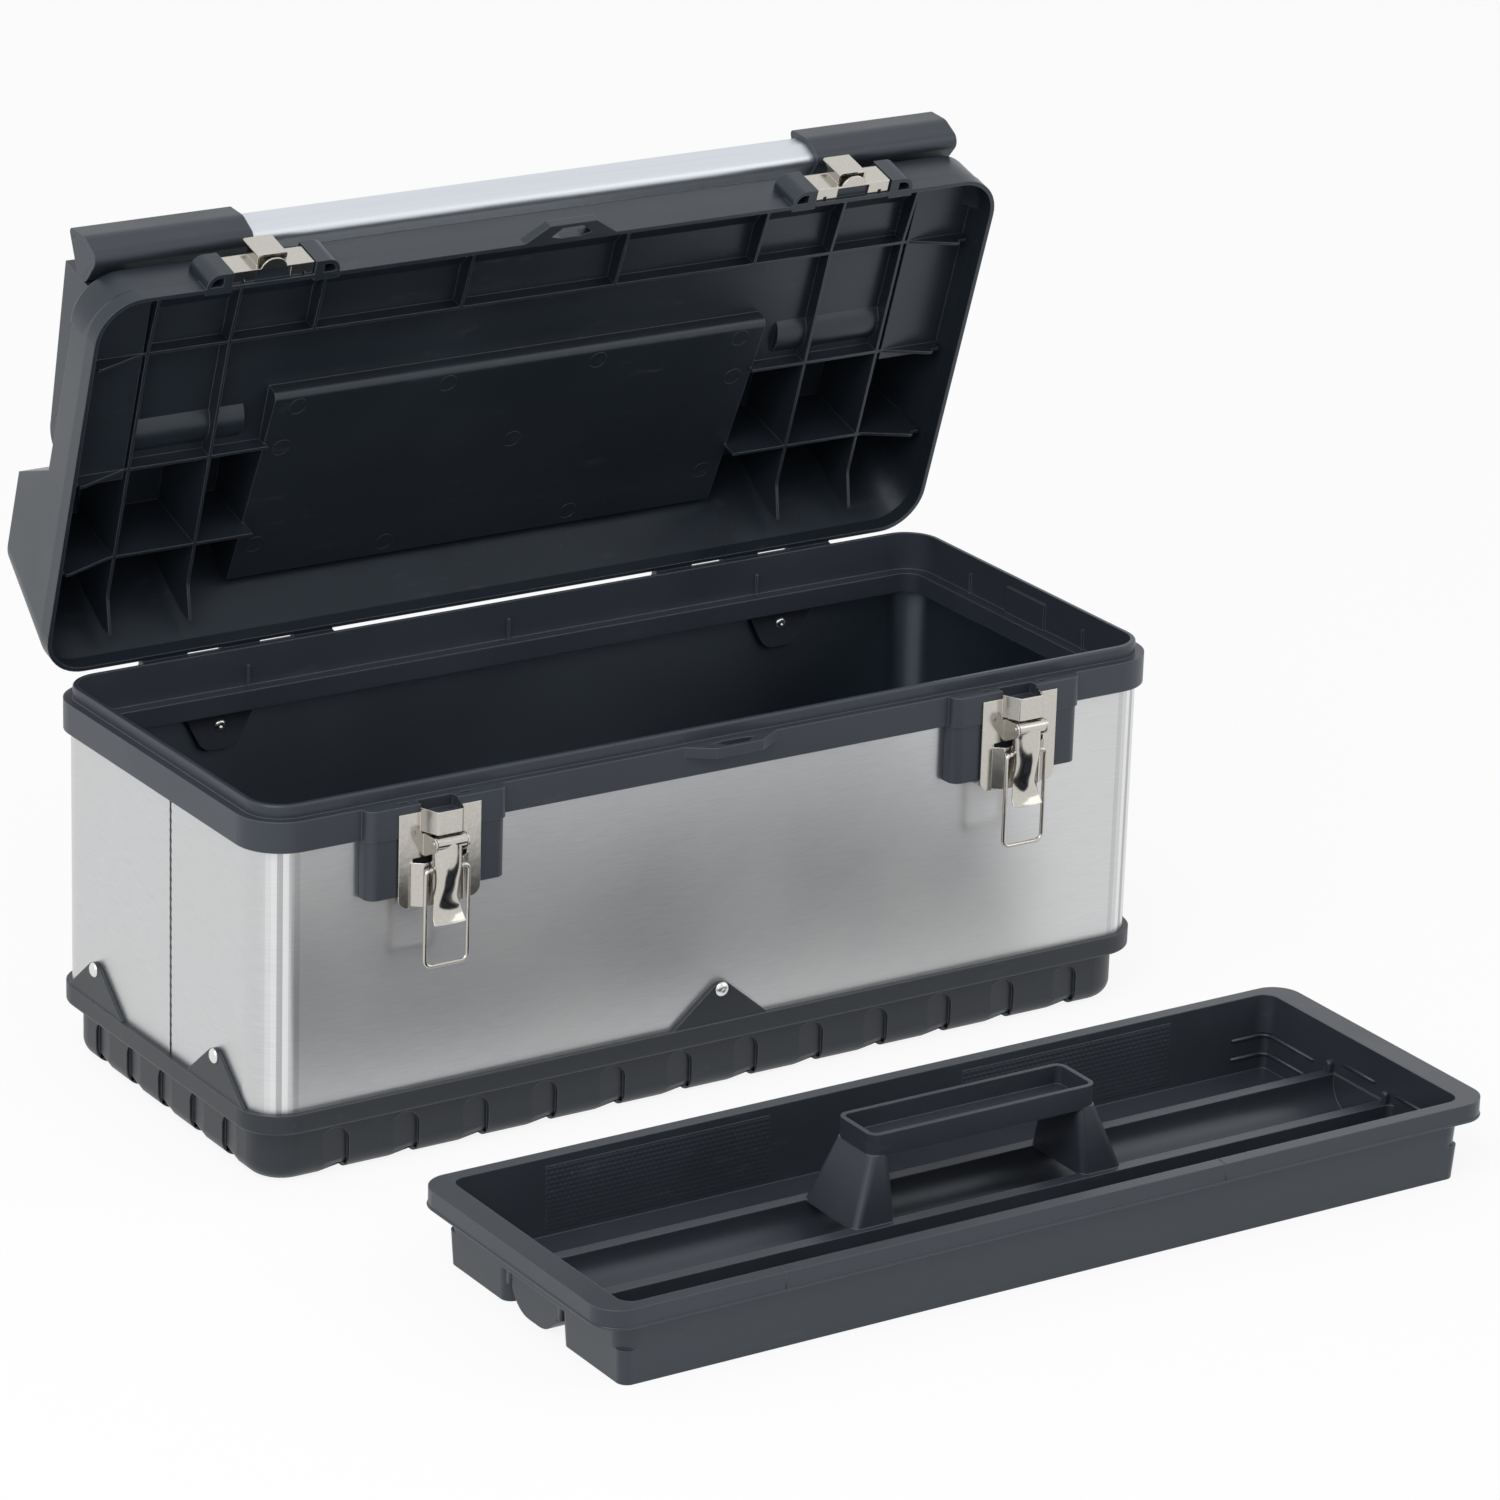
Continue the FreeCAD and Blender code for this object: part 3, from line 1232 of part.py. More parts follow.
def lid_front_lugs(moulding):
    """Keeper seats with a round-backed lug on each side, and the lid's padlock eye."""
    rim = -s.collar_front
    front = rim - s.lug_reach
    low, high = s.lid_bottom, lid_z(s.lug_height)
    half = s.keeper_width / 2
    seats, lugs = moulding.add("keeper_seats"), moulding.add("front_lugs")
    slots = moulding.cut("front_lug_slots")
    seat_low, seat_high = lid_z(s.keeper_lift) + s.keeper_sheet, lid_z(s.keeper_lift + s.keeper_height)
    seat_front = rim - s.keeper_stand + s.keeper_sheet
    for latch in (-1, 1):
        place = latch * s.latch_place
        seats.pad("XY", seat_low, seat_high,
                  rectangle(place - half, place + half, seat_front, rim + s.lug_root))
        for hand in (-1, 1):
            near_x = place + hand * (half + s.end_gap)
            far_x = near_x + hand * s.lug_width
            slot_x = near_x + hand * s.lug_slot
            slot_far = far_x - hand * s.lid_wall
            round_back = s.lug_reach * ROUND_END_SHARE
            lugs.pad("XY", low, high, [(near_x, rim + s.lug_root), (near_x, front),
                                       (far_x, front, round_back), (far_x, rim + s.lug_root)])
            lugs.pad("XY", lid_z(s.lug_heel), high,
                     rectangle(near_x if hand > 0 else far_x, far_x if hand > 0 else near_x,
                               rim + s.lug_root / 2, rim + s.lug_heel_root))
            slots.pad("XY", low - s.overrun, high - s.lid_wall,
                      [(slot_x, rim - s.end_gap), (slot_x, front + s.lid_wall),
                       (slot_far, front + s.lid_wall, round_back - s.lid_wall), (slot_far, rim - s.end_gap)])
    plate, slot = eye_outline(s.collar_front)
    lugs.pad("XY", s.lid_bottom, lid_z(s.eye_thick), plate)
    slots.pad("XY", s.lid_bottom - s.overrun, lid_z(s.eye_thick) + s.overrun, slot)


def keeper(label, side):
    """A latch's keeper: a pressed plate on its seat, with a hooked hump, folded tabs and a round tongue."""
    piece = Piece(label)
    place = side * s.latch_place
    half, hump = s.keeper_width / 2, s.keeper_hump / 2
    rim, sheet_in = -s.collar_front, s.keeper_sheet
    face = rim - s.keeper_stand
    back = face + sheet_in
    crown = face - s.keeper_hump_reach
    low, high = lid_z(s.keeper_lift), lid_z(s.keeper_lift + s.keeper_height)
    mouth, hook = low + s.keeper_mouth, high + s.keeper_hook
    piece.pad("XZ", face, back, rectangle(place - half, place + half, low, high))
    piece.pad("XY", mouth, hook, [(place - hump, back), (place - hump, crown, sheet_in),
                                  (place + hump, crown, sheet_in), (place + hump, back)])
    piece.pocket("YZ", place - hump - s.overrun, place + hump + s.overrun,
                 [(back + s.overrun, high), (face - s.keeper_hook_step, high), (crown + sheet_in, hook),
                  (crown + sheet_in, hook + s.overrun), (back + s.overrun, hook + s.overrun)])
    piece.pocket("XY", mouth - s.overrun, high - sheet_in,
                 rectangle(place - hump + sheet_in, place + hump - sheet_in, crown + sheet_in, face))
    root = rim - s.fit_gap
    for hand in (-1, 1):
        far_x, near_x = place + hand * half, place + hand * (hump + s.keeper_tab_gap)
        notch_x = (far_x + near_x) / 2
        cut_x = notch_x + hand * s.keeper_notch
        step = root - s.keeper_notch
        piece.pad("XY", low, low + sheet_in, [(far_x, face), (near_x, face), (near_x, root), (notch_x, root),
                                              (notch_x, step), (cut_x, step), (cut_x, root), (far_x, root)])
    tongue, tip = s.keeper_tongue, rim - s.keeper_tongue_reach
    piece.pad("XY", low, low + s.keeper_tongue_sheet,
              [(place - tongue, back), (place - tongue, tip, tongue * ROUND_END_SHARE),
               (place + tongue, tip, tongue * ROUND_END_SHARE), (place + tongue, back)])
    turned_with_lid(piece.body)
    keep(label, piece.body)


def grip_outline(inset):
    """The grip's rounded section in the lid's measure, drawn in towards its middle by an inset."""
    middle_y, middle_z = lid_y(s.grip_middle_place), lid_z(s.grip_middle_height)
    share = (s.grip_core - inset) / s.grip_core
    belly_place = (s.grip_apex_place + s.grip_nose_place) / 2 + s.grip_belly
    belly_height = (s.grip_apex_height + s.grip_nose_height) / 2
    corners = ((s.grip_apex_place, s.grip_apex_height, s.grip_apex_round),
               (belly_place, belly_height, s.grip_core),
               (s.grip_nose_place, s.grip_nose_height, s.grip_nose_round),
               (s.grip_heel_place, s.grip_heel_height, s.grip_heel_round))
    return [(middle_y + (lid_y(place) - middle_y) * share, middle_z + (lid_z(height) - middle_z) * share,
             radius * share) for place, height, radius in corners]


def handle_arm(label, side):
    """A handle arm: a flat limb with a round pivot end, and a sleeve that takes the bar's end."""
    piece = Piece(label)
    pivot_y, pivot_z = lid_y(s.handle_pivot_place), lid_z(s.handle_pivot_height)
    low, high = (s.arm_inner, s.arm_outer) if side > 0 else (-s.arm_outer, -s.arm_inner)
    front = lid_y(s.grip_heel_place + s.grip_heel_round)
    piece.pad("YZ", low, high, circle(pivot_y, pivot_z, s.arm_radius))
    piece.pad("YZ", low, high, [(front, lid_z(s.arm_front_low)), (pivot_y, lid_z(s.arm_low)),
                                (pivot_y, lid_z(s.arm_top)), (front, lid_z(s.arm_front_top))])
    sleeve = (s.sleeve_inner, s.arm_outer) if side > 0 else (-s.arm_outer, -s.sleeve_inner)
    piece.pad("YZ", *sleeve, grip_outline(as_size(0)))
    seat = (s.sleeve_inner - s.overrun, s.sleeve_inner + s.bar_seat) if side > 0 \
        else (-s.sleeve_inner - s.bar_seat, s.overrun - s.sleeve_inner)
    piece.pocket("YZ", *seat, grip_outline(s.sleeve_wall - s.fit_gap))
    cap = (s.arm_outer - s.end_cap_thick, s.arm_outer + s.overrun) if side > 0 \
        else (-s.arm_outer - s.overrun, s.end_cap_thick - s.arm_outer)
    piece.pocket("YZ", *cap, grip_outline(s.sleeve_wall - s.fit_gap))
    piece.pocket("YZ", low - s.overrun, high + s.overrun,
                 circle(pivot_y, pivot_z, s.pivot_pin_radius + s.run_gap))
    cap = (s.arm_outer - s.pivot_cap_thick, s.arm_outer + s.overrun) if side > 0 \
        else (-s.arm_outer - s.overrun, s.pivot_cap_thick - s.arm_outer)
    piece.pocket("YZ", *cap, circle(pivot_y, pivot_z, s.pivot_cap_radius + s.fit_gap))
    turned_with_lid(piece.body)
    keep(label, piece.body)


def handle_caps(side, hand):
    """The two flush covers of a handle arm: the grip's end cap and the pivot's round cap."""
    piece = Piece("grip_end_cap_" + hand)
    span = (s.arm_outer - s.end_cap_thick, s.arm_outer) if side > 0 \
        else (-s.arm_outer, s.end_cap_thick - s.arm_outer)
    piece.pad("YZ", *span, grip_outline(s.sleeve_wall))
    turned_with_lid(piece.body)
    keep("grip_end_cap_" + hand, piece.body)
    piece = Piece("pivot_cap_" + hand)
    span = (s.arm_outer - s.pivot_cap_thick, s.arm_outer) if side > 0 \
        else (-s.arm_outer, s.pivot_cap_thick - s.arm_outer)
    pivot_y, pivot_z = lid_y(s.handle_pivot_place), lid_z(s.handle_pivot_height)
    piece.pad("YZ", *span, circle(pivot_y, pivot_z, s.pivot_cap_radius))
    turned_with_lid(piece.body)
    keep("pivot_cap_" + hand, piece.body)


def pivot_pin(side, hand):
    """The pin that joins a handle arm to the lid's boss."""
    piece = Piece("pivot_pin_" + hand)
    low, high = s.pivot_boss_inner, s.arm_outer - s.pivot_cap_thick - s.fit_gap
    span = (low, high) if side > 0 else (-high, -low)
    pivot_y, pivot_z = lid_y(s.handle_pivot_place), lid_z(s.handle_pivot_height)
    piece.pad("YZ", *span, circle(pivot_y, pivot_z, s.pivot_pin_radius))
    turned_with_lid(piece.body)
    keep("pivot_pin_" + hand, piece.body)


def handle_bar():
    """The extruded grip bar between the two arms."""
    piece = Piece("handle_bar")
    reach = s.sleeve_inner + s.bar_seat - s.fit_gap
    piece.pad("YZ", -reach, reach, grip_outline(s.sleeve_wall))
    piece.pocket("YZ", -reach - s.overrun, reach + s.overrun, grip_outline(s.sleeve_wall + s.bar_wall))
    turned_with_lid(piece.body)
    keep("handle_bar", piece.body)


def tray_loft(piece, low, high, half_length, half_width, corner, inset):
    """A drafted box of the tray between two heights, given its half sizes at the rim's height."""
    lean = tangent(s.tray_draft)
    sections = []
    for level in (low, high):
        slip = (s.tray_height - level) * lean + inset
        sections.append((level, centred(half_length - slip, half_width - slip, corner - inset)))
    piece.loft(*sections)


def tray_bay(piece, side, low, high, half_length, half_width, inset):
    """A drafted box of one of the tray's two long bays between two heights."""
    lean = tangent(s.tray_draft)
    sections = []
    for level in (low, high):
        slip = (s.tray_height - level) * lean + inset
        near_y, far_y = s.bay_inner - level * lean + inset, half_width - slip
        low_y, high_y = (near_y, far_y) if side > 0 else (-far_y, -near_y)
        reach = half_length - slip
        sections.append((level, rectangle(-reach, reach, low_y, high_y, s.bay_round - inset)))
    piece.loft(*sections)


def trough_outline(inset, top):
    """The section of the tray's middle trough."""
    half, bend = s.trough_half - inset, s.trough_bend - inset
    return [(-half, top), (-half, inset, bend), (half, inset, bend), (half, top)]


def tool_tray():
    """The lift-out tray: two square bays, a round trough, low dividers, a rim and a carrying grip."""
    moulding = Moulding("tray_tub")
    wall, tall = s.tray_wall, s.tray_height
    end, front = s.tray_length / 2, s.tray_width / 2
    tub_end, tub_front = end - s.tray_end_overhang, front - s.tray_side_overhang
    corner = s.tray_corner - s.tray_side_overhang
    deck = s.divider_height - wall
    tray_loft(moulding.core, deck, tall, tub_end, tub_front, corner, as_size(0))
    space = moulding.cut("tray_space")
    tray_loft(space, s.divider_height, tall + s.overrun, tub_end, tub_front, corner, wall)
    for side in (-1, 1):
        tray_bay(moulding.add("bay"), side, as_size(0), deck, tub_end, tub_front, as_size(0))
        tray_bay(moulding.cut("bay_space"), side, wall, s.divider_height + wall, tub_end, tub_front, wall)
    reach = tub_end - tall * tangent(s.tray_draft)
    moulding.add("trough").pad("YZ", -reach, reach, trough_outline(as_size(0), deck + wall / 2))
    moulding.cut("trough_space").pad("YZ", wall - reach, reach - wall,
                                     trough_outline(wall, s.divider_height + wall))
    rim = moulding.add("tray_rim")
    rim.pad("XY", tall - s.tray_rim_skirt, tall, centred(end, front, s.tray_corner))
    inner = s.tray_rim_wall
    rim.pocket("XY", tall - s.tray_rim_skirt - s.overrun, tall - wall,
               centred(end - inner, front - inner, s.tray_corner - inner))
    tray = doc.addObject("Part::MultiFuse", "tool_tray")
    tray.Shapes = [moulding.finish()] + tray_grip()
    tray.setExpression("Placement.Base.x", "sheet.tray_x")
    tray.setExpression("Placement.Base.y", "sheet.tray_y")
    keep("tool_tray", tray)


def tray_grip():
    """The tray's grip: a channel open at its top, on two legs that stand across the trough."""
    half, wide = s.grip_length / 2, s.grip_width / 2
    low = s.grip_top - s.grip_depth
    grip = Piece("tray_grip")
    grip.pad("XY", low, s.grip_top, centred(half, wide, s.grip_round))
    grip.pocket("XY", low + s.grip_wall, s.grip_top + s.overrun,
                centred(half - s.grip_wall, wide - s.grip_wall, s.grip_round - s.grip_wall))
    bodies = [grip.body]
    foot = s.divider_height - s.tray_wall / 2
    knee = low + s.grip_wall / 2
    foot_wide = s.leg_foot_width / 2
    for side in (-1, 1):
        sections = []
        for level, reach, span in ((foot, half + s.leg_flare, foot_wide), (knee, half, wide)):
            low_x, high_x = half - s.leg_thick, reach
            low_x, high_x = (low_x, high_x) if side > 0 else (-high_x, -low_x)
            sections.append((level, rectangle(low_x, high_x, -span, span, s.leg_round)))
        leg = Piece("grip_leg")
        leg.loft(*sections)
        bodies.append(leg.body)
    return bodies


base_tub()
steel_sleeve()
collar()
rivets()
hinge_pins()
lid_shell()
for side, hand in ((-1, "left"), (1, "right")):
    latch_plate("latch_plate_" + hand, side)
    lever_pin("lever_pin_" + hand, side)
    latch_lever("latch_lever_" + hand, side)
    latch_bail("latch_bail_" + hand, side)
    keeper("keeper_" + hand, side)
    handle_arm("handle_arm_" + hand, side)
    handle_caps(side, hand)
    pivot_pin(side, hand)
handle_bar()
tool_tray()

doc.recompute()
failed = [item.Name for item in doc.Objects if "Invalid" in item.State or "Error" in item.State]
for label, item in NODES.items():
    if item.Shape.isNull() or not item.Shape.isValid() or not item.Shape.Solids:
        failed.append(label)
if failed:
    raise RuntimeError("not built: " + ", ".join(failed))
os.makedirs("parts", exist_ok=True)
for label, item in NODES.items():
    item.Shape.exportStep("parts/%s.step" % label)
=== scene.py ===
import bmesh
import bpy
import numpy as np
from mathutils import Matrix, Vector


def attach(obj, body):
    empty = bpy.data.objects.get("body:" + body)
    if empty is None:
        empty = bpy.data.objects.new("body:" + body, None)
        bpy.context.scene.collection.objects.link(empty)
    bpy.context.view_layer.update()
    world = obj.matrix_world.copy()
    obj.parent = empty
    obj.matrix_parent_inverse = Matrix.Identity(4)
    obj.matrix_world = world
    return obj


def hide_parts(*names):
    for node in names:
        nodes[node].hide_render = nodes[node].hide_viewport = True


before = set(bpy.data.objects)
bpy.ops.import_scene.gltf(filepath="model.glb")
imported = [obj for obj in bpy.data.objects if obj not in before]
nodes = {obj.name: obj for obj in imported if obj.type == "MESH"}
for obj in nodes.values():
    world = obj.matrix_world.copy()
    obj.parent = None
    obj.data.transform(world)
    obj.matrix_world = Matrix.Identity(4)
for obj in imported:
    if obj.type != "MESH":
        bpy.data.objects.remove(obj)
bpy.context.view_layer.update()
scene = bpy.context.scene
scene.view_settings.view_transform = "Standard"

# Added pieces are written in millimetres, in the frame's own directions. WELD is in metres.
MM = 0.001
WELD = 1e-7
X_WAY, Y_WAY, Z_WAY = (1, 0, 0), (0, 1, 0), (0, 0, 1)
BOTH = (-1, 1)

# The photographer's place, fitted to the case's straight edges, in metres.
CAMERA_PLACE = (-1.7975, -2.8564, 1.4047)
CAMERA_RIGHT = (0.83963, -0.54230, 0.03046)
CAMERA_UP = (0.16302, 0.30511, 0.93826)
CAMERA_AHEAD = (0.51812, 0.78284, -0.34458)
CAMERA_LENS = 154.38
CAMERA_REACH = 50.0
SENSOR_WIDTH = 36.0

# The studio's levels and sizes, in metres.
WORLD_LIGHT = 0.6
WHITE = (1, 1, 1, 1)
FLOOR_TONE = (0.93, 0.93, 0.93, 1)
FLOOR_WHITE = 0.88
FLOOR_HALF = 6.0
LAMP_AIM = (0, -0.1, 0.2)

# The spans of noise that a finish uses, of the cosine over which an edge takes its pale tone, partly wear and
# partly painted highlight, and the stretch of scuffs.
NOISE_SPAN, NOISE_UPPER = (0.3, 0.7), (0.35, 0.7)
SCUFF_SPAN, SPECK_SPAN = (0.6, 0.8), (0.74, 0.8)
EDGE_SPAN = (0.98, 0.8)
SCUFF_STRETCH = (35.0, 60.0, 120.0)

# Black plastic: colours, and how far tone and gloss swing from patch to patch.
# The pale edge tones are partly wear and partly painted highlight along edges and rims.
PALE_EDGE_WEAR_AND_HIGHLIGHT, FAINT_EDGE_WEAR_AND_HIGHLIGHT = (0.13, 0.14, 0.16), (0.026, 0.03, 0.037)
PALE_SCUFF = (0.055, 0.06, 0.067)
# The base's black is a darker copy of the case's black: painted shade on the base.
CASE_BLACK, BASE_SHADED_BLACK = (0.031, 0.0355, 0.046), (0.0165, 0.0185, 0.0225)
# The seam's near-black is painted shade in the sheet's fold.
LID_BLACK, SEAM_SHADE_BLACK = (0.0155, 0.0205, 0.0275), (0.014, 0.015, 0.017)
TRAY_BLACK, ARM_BLACK = (0.0285, 0.033, 0.042), (0.028, 0.0325, 0.0415)
SHEEN_LEVEL, SHEEN_TINT = 0.5, (0.86, 0.93, 1.0, 1)
TONE_SWING, GLOSS_SWING = 0.2, 0.06
SCUFF_SHARE, SCUFF_DULLING, EDGE_SHARE = 0.5, 0.1, 0.85

# The strength of each finish's bumps, and their depth in metres.
GRAIN_BUMP, STEEL_BUMP = (0.14, 0.0002), (0.05, 0.0002)
PLATE_BUMP, BAR_BUMP = (0.05, 0.0008), (0.08, 0.0002)

# Steel sheet: colours, how reflections are drawn out, and the weights that tell its outside from its inside,
# whose dark tone is painted shade.
STEEL_DARK, STEEL_LIGHT = (0.45, 0.455, 0.47), (0.73, 0.735, 0.75)
STEEL_CLOUD, STEEL_INSIDE_SHADE = (0.6, 0.6, 0.585), (0.21, 0.25, 0.295)
STEEL_LINES = (70.0, 70.0, 3600.0)
STEEL_ROUGH = (0.28, 0.34)
SHINE_STRETCH, SHINE_TURN = 0.8, 0.25
OUTWARD_WEIGHTS, INSIDE_SPAN = (0.25, 1.0, 0.0), (-0.001, 0.001)
CLOUD_SHARE = 0.5

# The sheet's tone round its corners, as painted reflection bands: the sine of the turn from the front, and
# the share of the plain tone.
CORNER_REFLECTION_BANDS = ((0.0, 1.0), (0.1, 0.78), (0.2, 0.95), (0.33, 1.4), (0.37, 1.1), (0.48, 0.72),
         (0.57, 0.95), (0.64, 1.45), (0.69, 1.1), (0.78, 0.95), (1.0, 1.0))
REFLECTION_BAND_MOST = 1.5

# Bright plating and drawn aluminium: colours, shares, swings of gloss, and the width of worn edges in metres.
PLATE_TONE, PLATE_EDGE, RIVET_TONE = (0.56, 0.54, 0.495), (0.8, 0.785, 0.75), (0.78, 0.78, 0.77)
PLATE_DULL, PLATE_EDGE_SHARE = 0.9, 0.5
PLATE_BRIGHTER, PLATE_DULLER = 0.02, 0.03
PLATE_WEAR, BAR_WEAR = 0.0006, 0.001
BAR_DARK, BAR_LIGHT, BAR_BAND = (0.54, 0.58, 0.62), (0.72, 0.755, 0.8), (0.66, 0.69, 0.73)
BAR_LINES = (6.0, 1900.0, 1900.0)
BAR_ROUGH = (0.4, 0.5)
BAND_SHARE = 0.6

# Rivets: radius, height, dimple depth and dimple width of a head and of a set end, and their places.
HEAD, SET_END = (4.3, 2.2, 0.35, 1.1), (3.4, 1.7, 1.0, 1.0)
DOME_RINGS, DOME_FOOT = 14, -0.2
LATCH_X = 186.5
BASE_RIVET_Z, COLLAR_RIVET_Z = 62.5, 174.0
TAB_FRONT, TAB_END, END_RIVET_Y = 120.1, 288.6, 69.0
SHEET_BACK, INNER_TAB = 117.3, 113.3

# The lock seam on the sheet's left, and the crimps along it, in near-black as painted shade of the fold.
SEAM_X, SEAM_Y, SEAM_DEPTH, SEAM_SIDES = -285.78, -15.0, 0.16, 10
SEAM_LOW, SEAM_HIGH, SEAM_HALF = 43.2, 192.2, 0.95
CRIMP_LOW, CRIMP_HIGH, CRIMP_PITCH = 48.0, 189.0, 5.6
CRIMP_LENGTH, CRIMP_HALF = 2.4, 1.25

# The cove in the base's foot: the inside of the wall it follows, and its centre and radii in section.
COVE_HALF_X, COVE_HALF_Y, COVE_CORNER = 278.3, 109.8, 18.8
COVE_IN, COVE_UP = -7.0, 10.0
COVE_INNER, COVE_OUTER, COVE_STEPS = 6.95, 7.7, 9

# The latches' wire loops: half widths at the ends and the sides, levels, and bends.
LOOP_GAP, LOOP_HALF, LOOP_Y = 6.65, 13.05, -137.2
LOOP_TOP, LOOP_FOOT = 174.5, 120.2
LOOP_HOOK, LOOP_BEND = 2.4, 4
WIRE_RADIUS, WIRE_SIDES = 1.2, 20

# The tray's place, its inside at the top, and the lean of its walls.
TRAY_X, TRAY_Y, TRAY_TOP = 23.5, -323.5, 46.0
TRAY_HALF_X, TRAY_HALF_Y = 265.3, 85.8
TRAY_DRAFT = np.tan(np.radians(3.0))

# The tray's ribbed patches: names and spans along x, levels, pitches and relief.
PATCHES = (("tray_patch_left", -184.0, -44.0), ("tray_patch_right", 80.0, 221.0))
PATCH_LOW, PATCH_HIGH = 5.0, 41.5
PATCH_COLUMNS, PATCH_ROWS = 330, 92
PATCH_ROW, PATCH_DASH = 2.6, 3.4
PATCH_RELIEF, DASH_SHARE = 0.22, 0.4
PATCH_LIFT, PATCH_SINK, PATCH_BACK = 0.05, 0.1, 0.4

# The tray's ribs: level and reach of those that turn a corner, and level, start and stop of the short ones.
CORNER_RIBS = ((22.0, 44.0), (11.0, 36.0))
SHORT_RIBS = ((29.0, -309.0, -337.0), (27.5, -356.0, -382.0))
RIB_RUN, RIB_BEND = 24.0, 6.0
RIB_RADIUS, RIB_SIDES, RIB_FLAT = 1.1, 12, 0.9

# The posts at the tray dividers' ends: places, half sizes, and levels with the share of the size there.
POST_X, POST_PLACES = 263.4, (-298.5, -348.5)
POST_HALF, POST_SIDES, POST_SQUARENESS = (2.6, 2.2), 16, 0.5
POST_LEVELS = ((12.0, 1.0), (26.0, 1.0), (27.6, 0.9), (28.2, 0.55))

# The bead round the foot of the tray's rim, and the mould lines over the rim.
BEAD_HALF_X, BEAD_HALF_Y, BEAD_Z, BEAD_CORNER = 280.2, 93.2, 35.9, 15.7
BEAD_RADIUS, BEAD_SIDES = 0.9, 12
LINE_PLACES, LINE_HALF_Y = (-150.7, 125.1), 93.4
LINE_LOW, LINE_HIGH, LINE_OVER, LINE_BEND = 36.5, 45.9, 6.5, 0.5
LINE_RADIUS, LINE_SIDES, LINE_FLAT = 0.3, 8, 1.6

# The resting lid: its pivot, the place of its rear edge and rim from there, and how far it stands open.
PIVOT_Y, PIVOT_Z = 127.2, 208.5
LID_BACK, LID_RISE = -5.7, 1.5
LID_TURN = np.radians(72.6)

# Pusher marks on the well's slope: its ends, the paired marks by x and place up the slope, and an odd one.
WELL_ENDS = ((0.0, 154.0, 17.5), (0.0, 19.0, 35.0))
PAIRED_MARKS = ((49.1, 11.0), (144.5, 11.0), (148.0, 40.4), (148.0, 112.0), (61.0, 127.0))
ODD_MARK = (6.0, 62.0)
MARK_RADIUS, MARK_STEPS = 5.4, 40
MARK_WIRE, MARK_SIDES, MARK_FLAT = 0.32, 8, 0.7

# The lid's front wall: outlines by depth behind the front and height, and the run of its path.
BROW_STRIP = ((0.0, 9.0), (0.1, 28.6), (0.2, 29.6), (0.6, 30.4), (1.3, 30.9), (2.2, 31.0),
              (8.8, 30.7), (9.6, 30.4), (10.0, 29.6), (10.0, 20.4), (6.0, 17.2))
BROW_WEDGE = ((8.6, 30.2), (25.1, 29.5), (25.1, 27.8), (8.6, 18.6))
BROW_HALF_X, WEDGE_HALF_X = 289.4, 248.0
BROW_START, BROW_FRONT, BROW_CORNER = 214.0, 242.6, 25.6
BROW_SHARP = 0.6


def make_camera():
    """A still camera with no depth of field."""
    data = bpy.data.cameras.new("photo_camera")
    data.lens = CAMERA_LENS
    data.sensor_width = SENSOR_WIDTH
    data.clip_end = CAMERA_REACH
    camera = bpy.data.objects.new("photo_camera", data)
    scene.collection.objects.link(camera)
    right, up, ahead = Vector(CAMERA_RIGHT), Vector(CAMERA_UP), Vector(CAMERA_AHEAD)
    turn = Matrix((right, up, -ahead)).transposed().to_4x4()
    camera.matrix_world = Matrix.Translation(CAMERA_PLACE) @ turn
    scene.camera = camera


def link(tree, source, target):
    """Joins an output socket to an input socket."""
    tree.links.new(source, target)


def node(tree, kind, **values):
    """A shader node with properties or plain socket values set by name."""
    made = tree.nodes.new("ShaderNode" + kind)
    for name, value in values.items():
        if name in made.inputs:
            made.inputs[name].default_value = value
        else:
            setattr(made, name, value)
    return made


def feed(tree, value, socket, *kinds):
    """Sets an input socket to a plain value of one of the kinds, or joins it to another socket."""
    if isinstance(value, kinds):
        socket.default_value = value
    else:
        link(tree, value, socket)


def math(tree, operation, first, second):
    """One sum of two values, each a socket or a number."""
    made = node(tree, "Math", operation=operation)
    feed(tree, first, made.inputs[0], int, float)
    feed(tree, second, made.inputs[1], int, float)
    return made.outputs[0]


def vector_math(tree, operation, first, second):
    """The node of one sum of two vectors, each a socket or three numbers."""
    made = node(tree, "VectorMath", operation=operation)
    feed(tree, first, made.inputs[0], tuple)
    feed(tree, second, made.inputs[1], tuple)
    return made


def scaled(tree, colour, share):
    """A colour socket times a value socket."""
    made = node(tree, "VectorMath", operation="SCALE")
    link(tree, colour, made.inputs[0])
    link(tree, share, made.inputs["Scale"])
    return made.outputs[0]


def spread(tree, value, low, high, to_low, to_high):
    """A value's span from low to high carried over to another span and held there."""
    made = node(tree, "MapRange")
    for name, number in (("From Min", low), ("From Max", high), ("To Min", to_low), ("To Max", to_high)):
        made.inputs[name].default_value = number
    link(tree, value, made.inputs["Value"])
    return made.outputs[0]


def blend(tree, factor, first, second):
    """A mix of two colours, each a socket or three numbers, by a factor socket."""
    made = node(tree, "Mix", data_type="RGBA")
    link(tree, factor, made.inputs[0])
    for place, value in ((6, first), (7, second)):
        feed(tree, (*value, 1) if isinstance(value, tuple) else value, made.inputs[place], tuple)
    return made.outputs[2]


def seen_by_eye(tree):
    """One for rays from the camera, from mirrors and through glass, and nothing for light's own rays."""
    path = node(tree, "LightPath")
    either = math(tree, "MAXIMUM", path.outputs["Is Camera Ray"], path.outputs["Is Glossy Ray"])
    return math(tree, "MAXIMUM", either, path.outputs["Is Transmission Ray"])


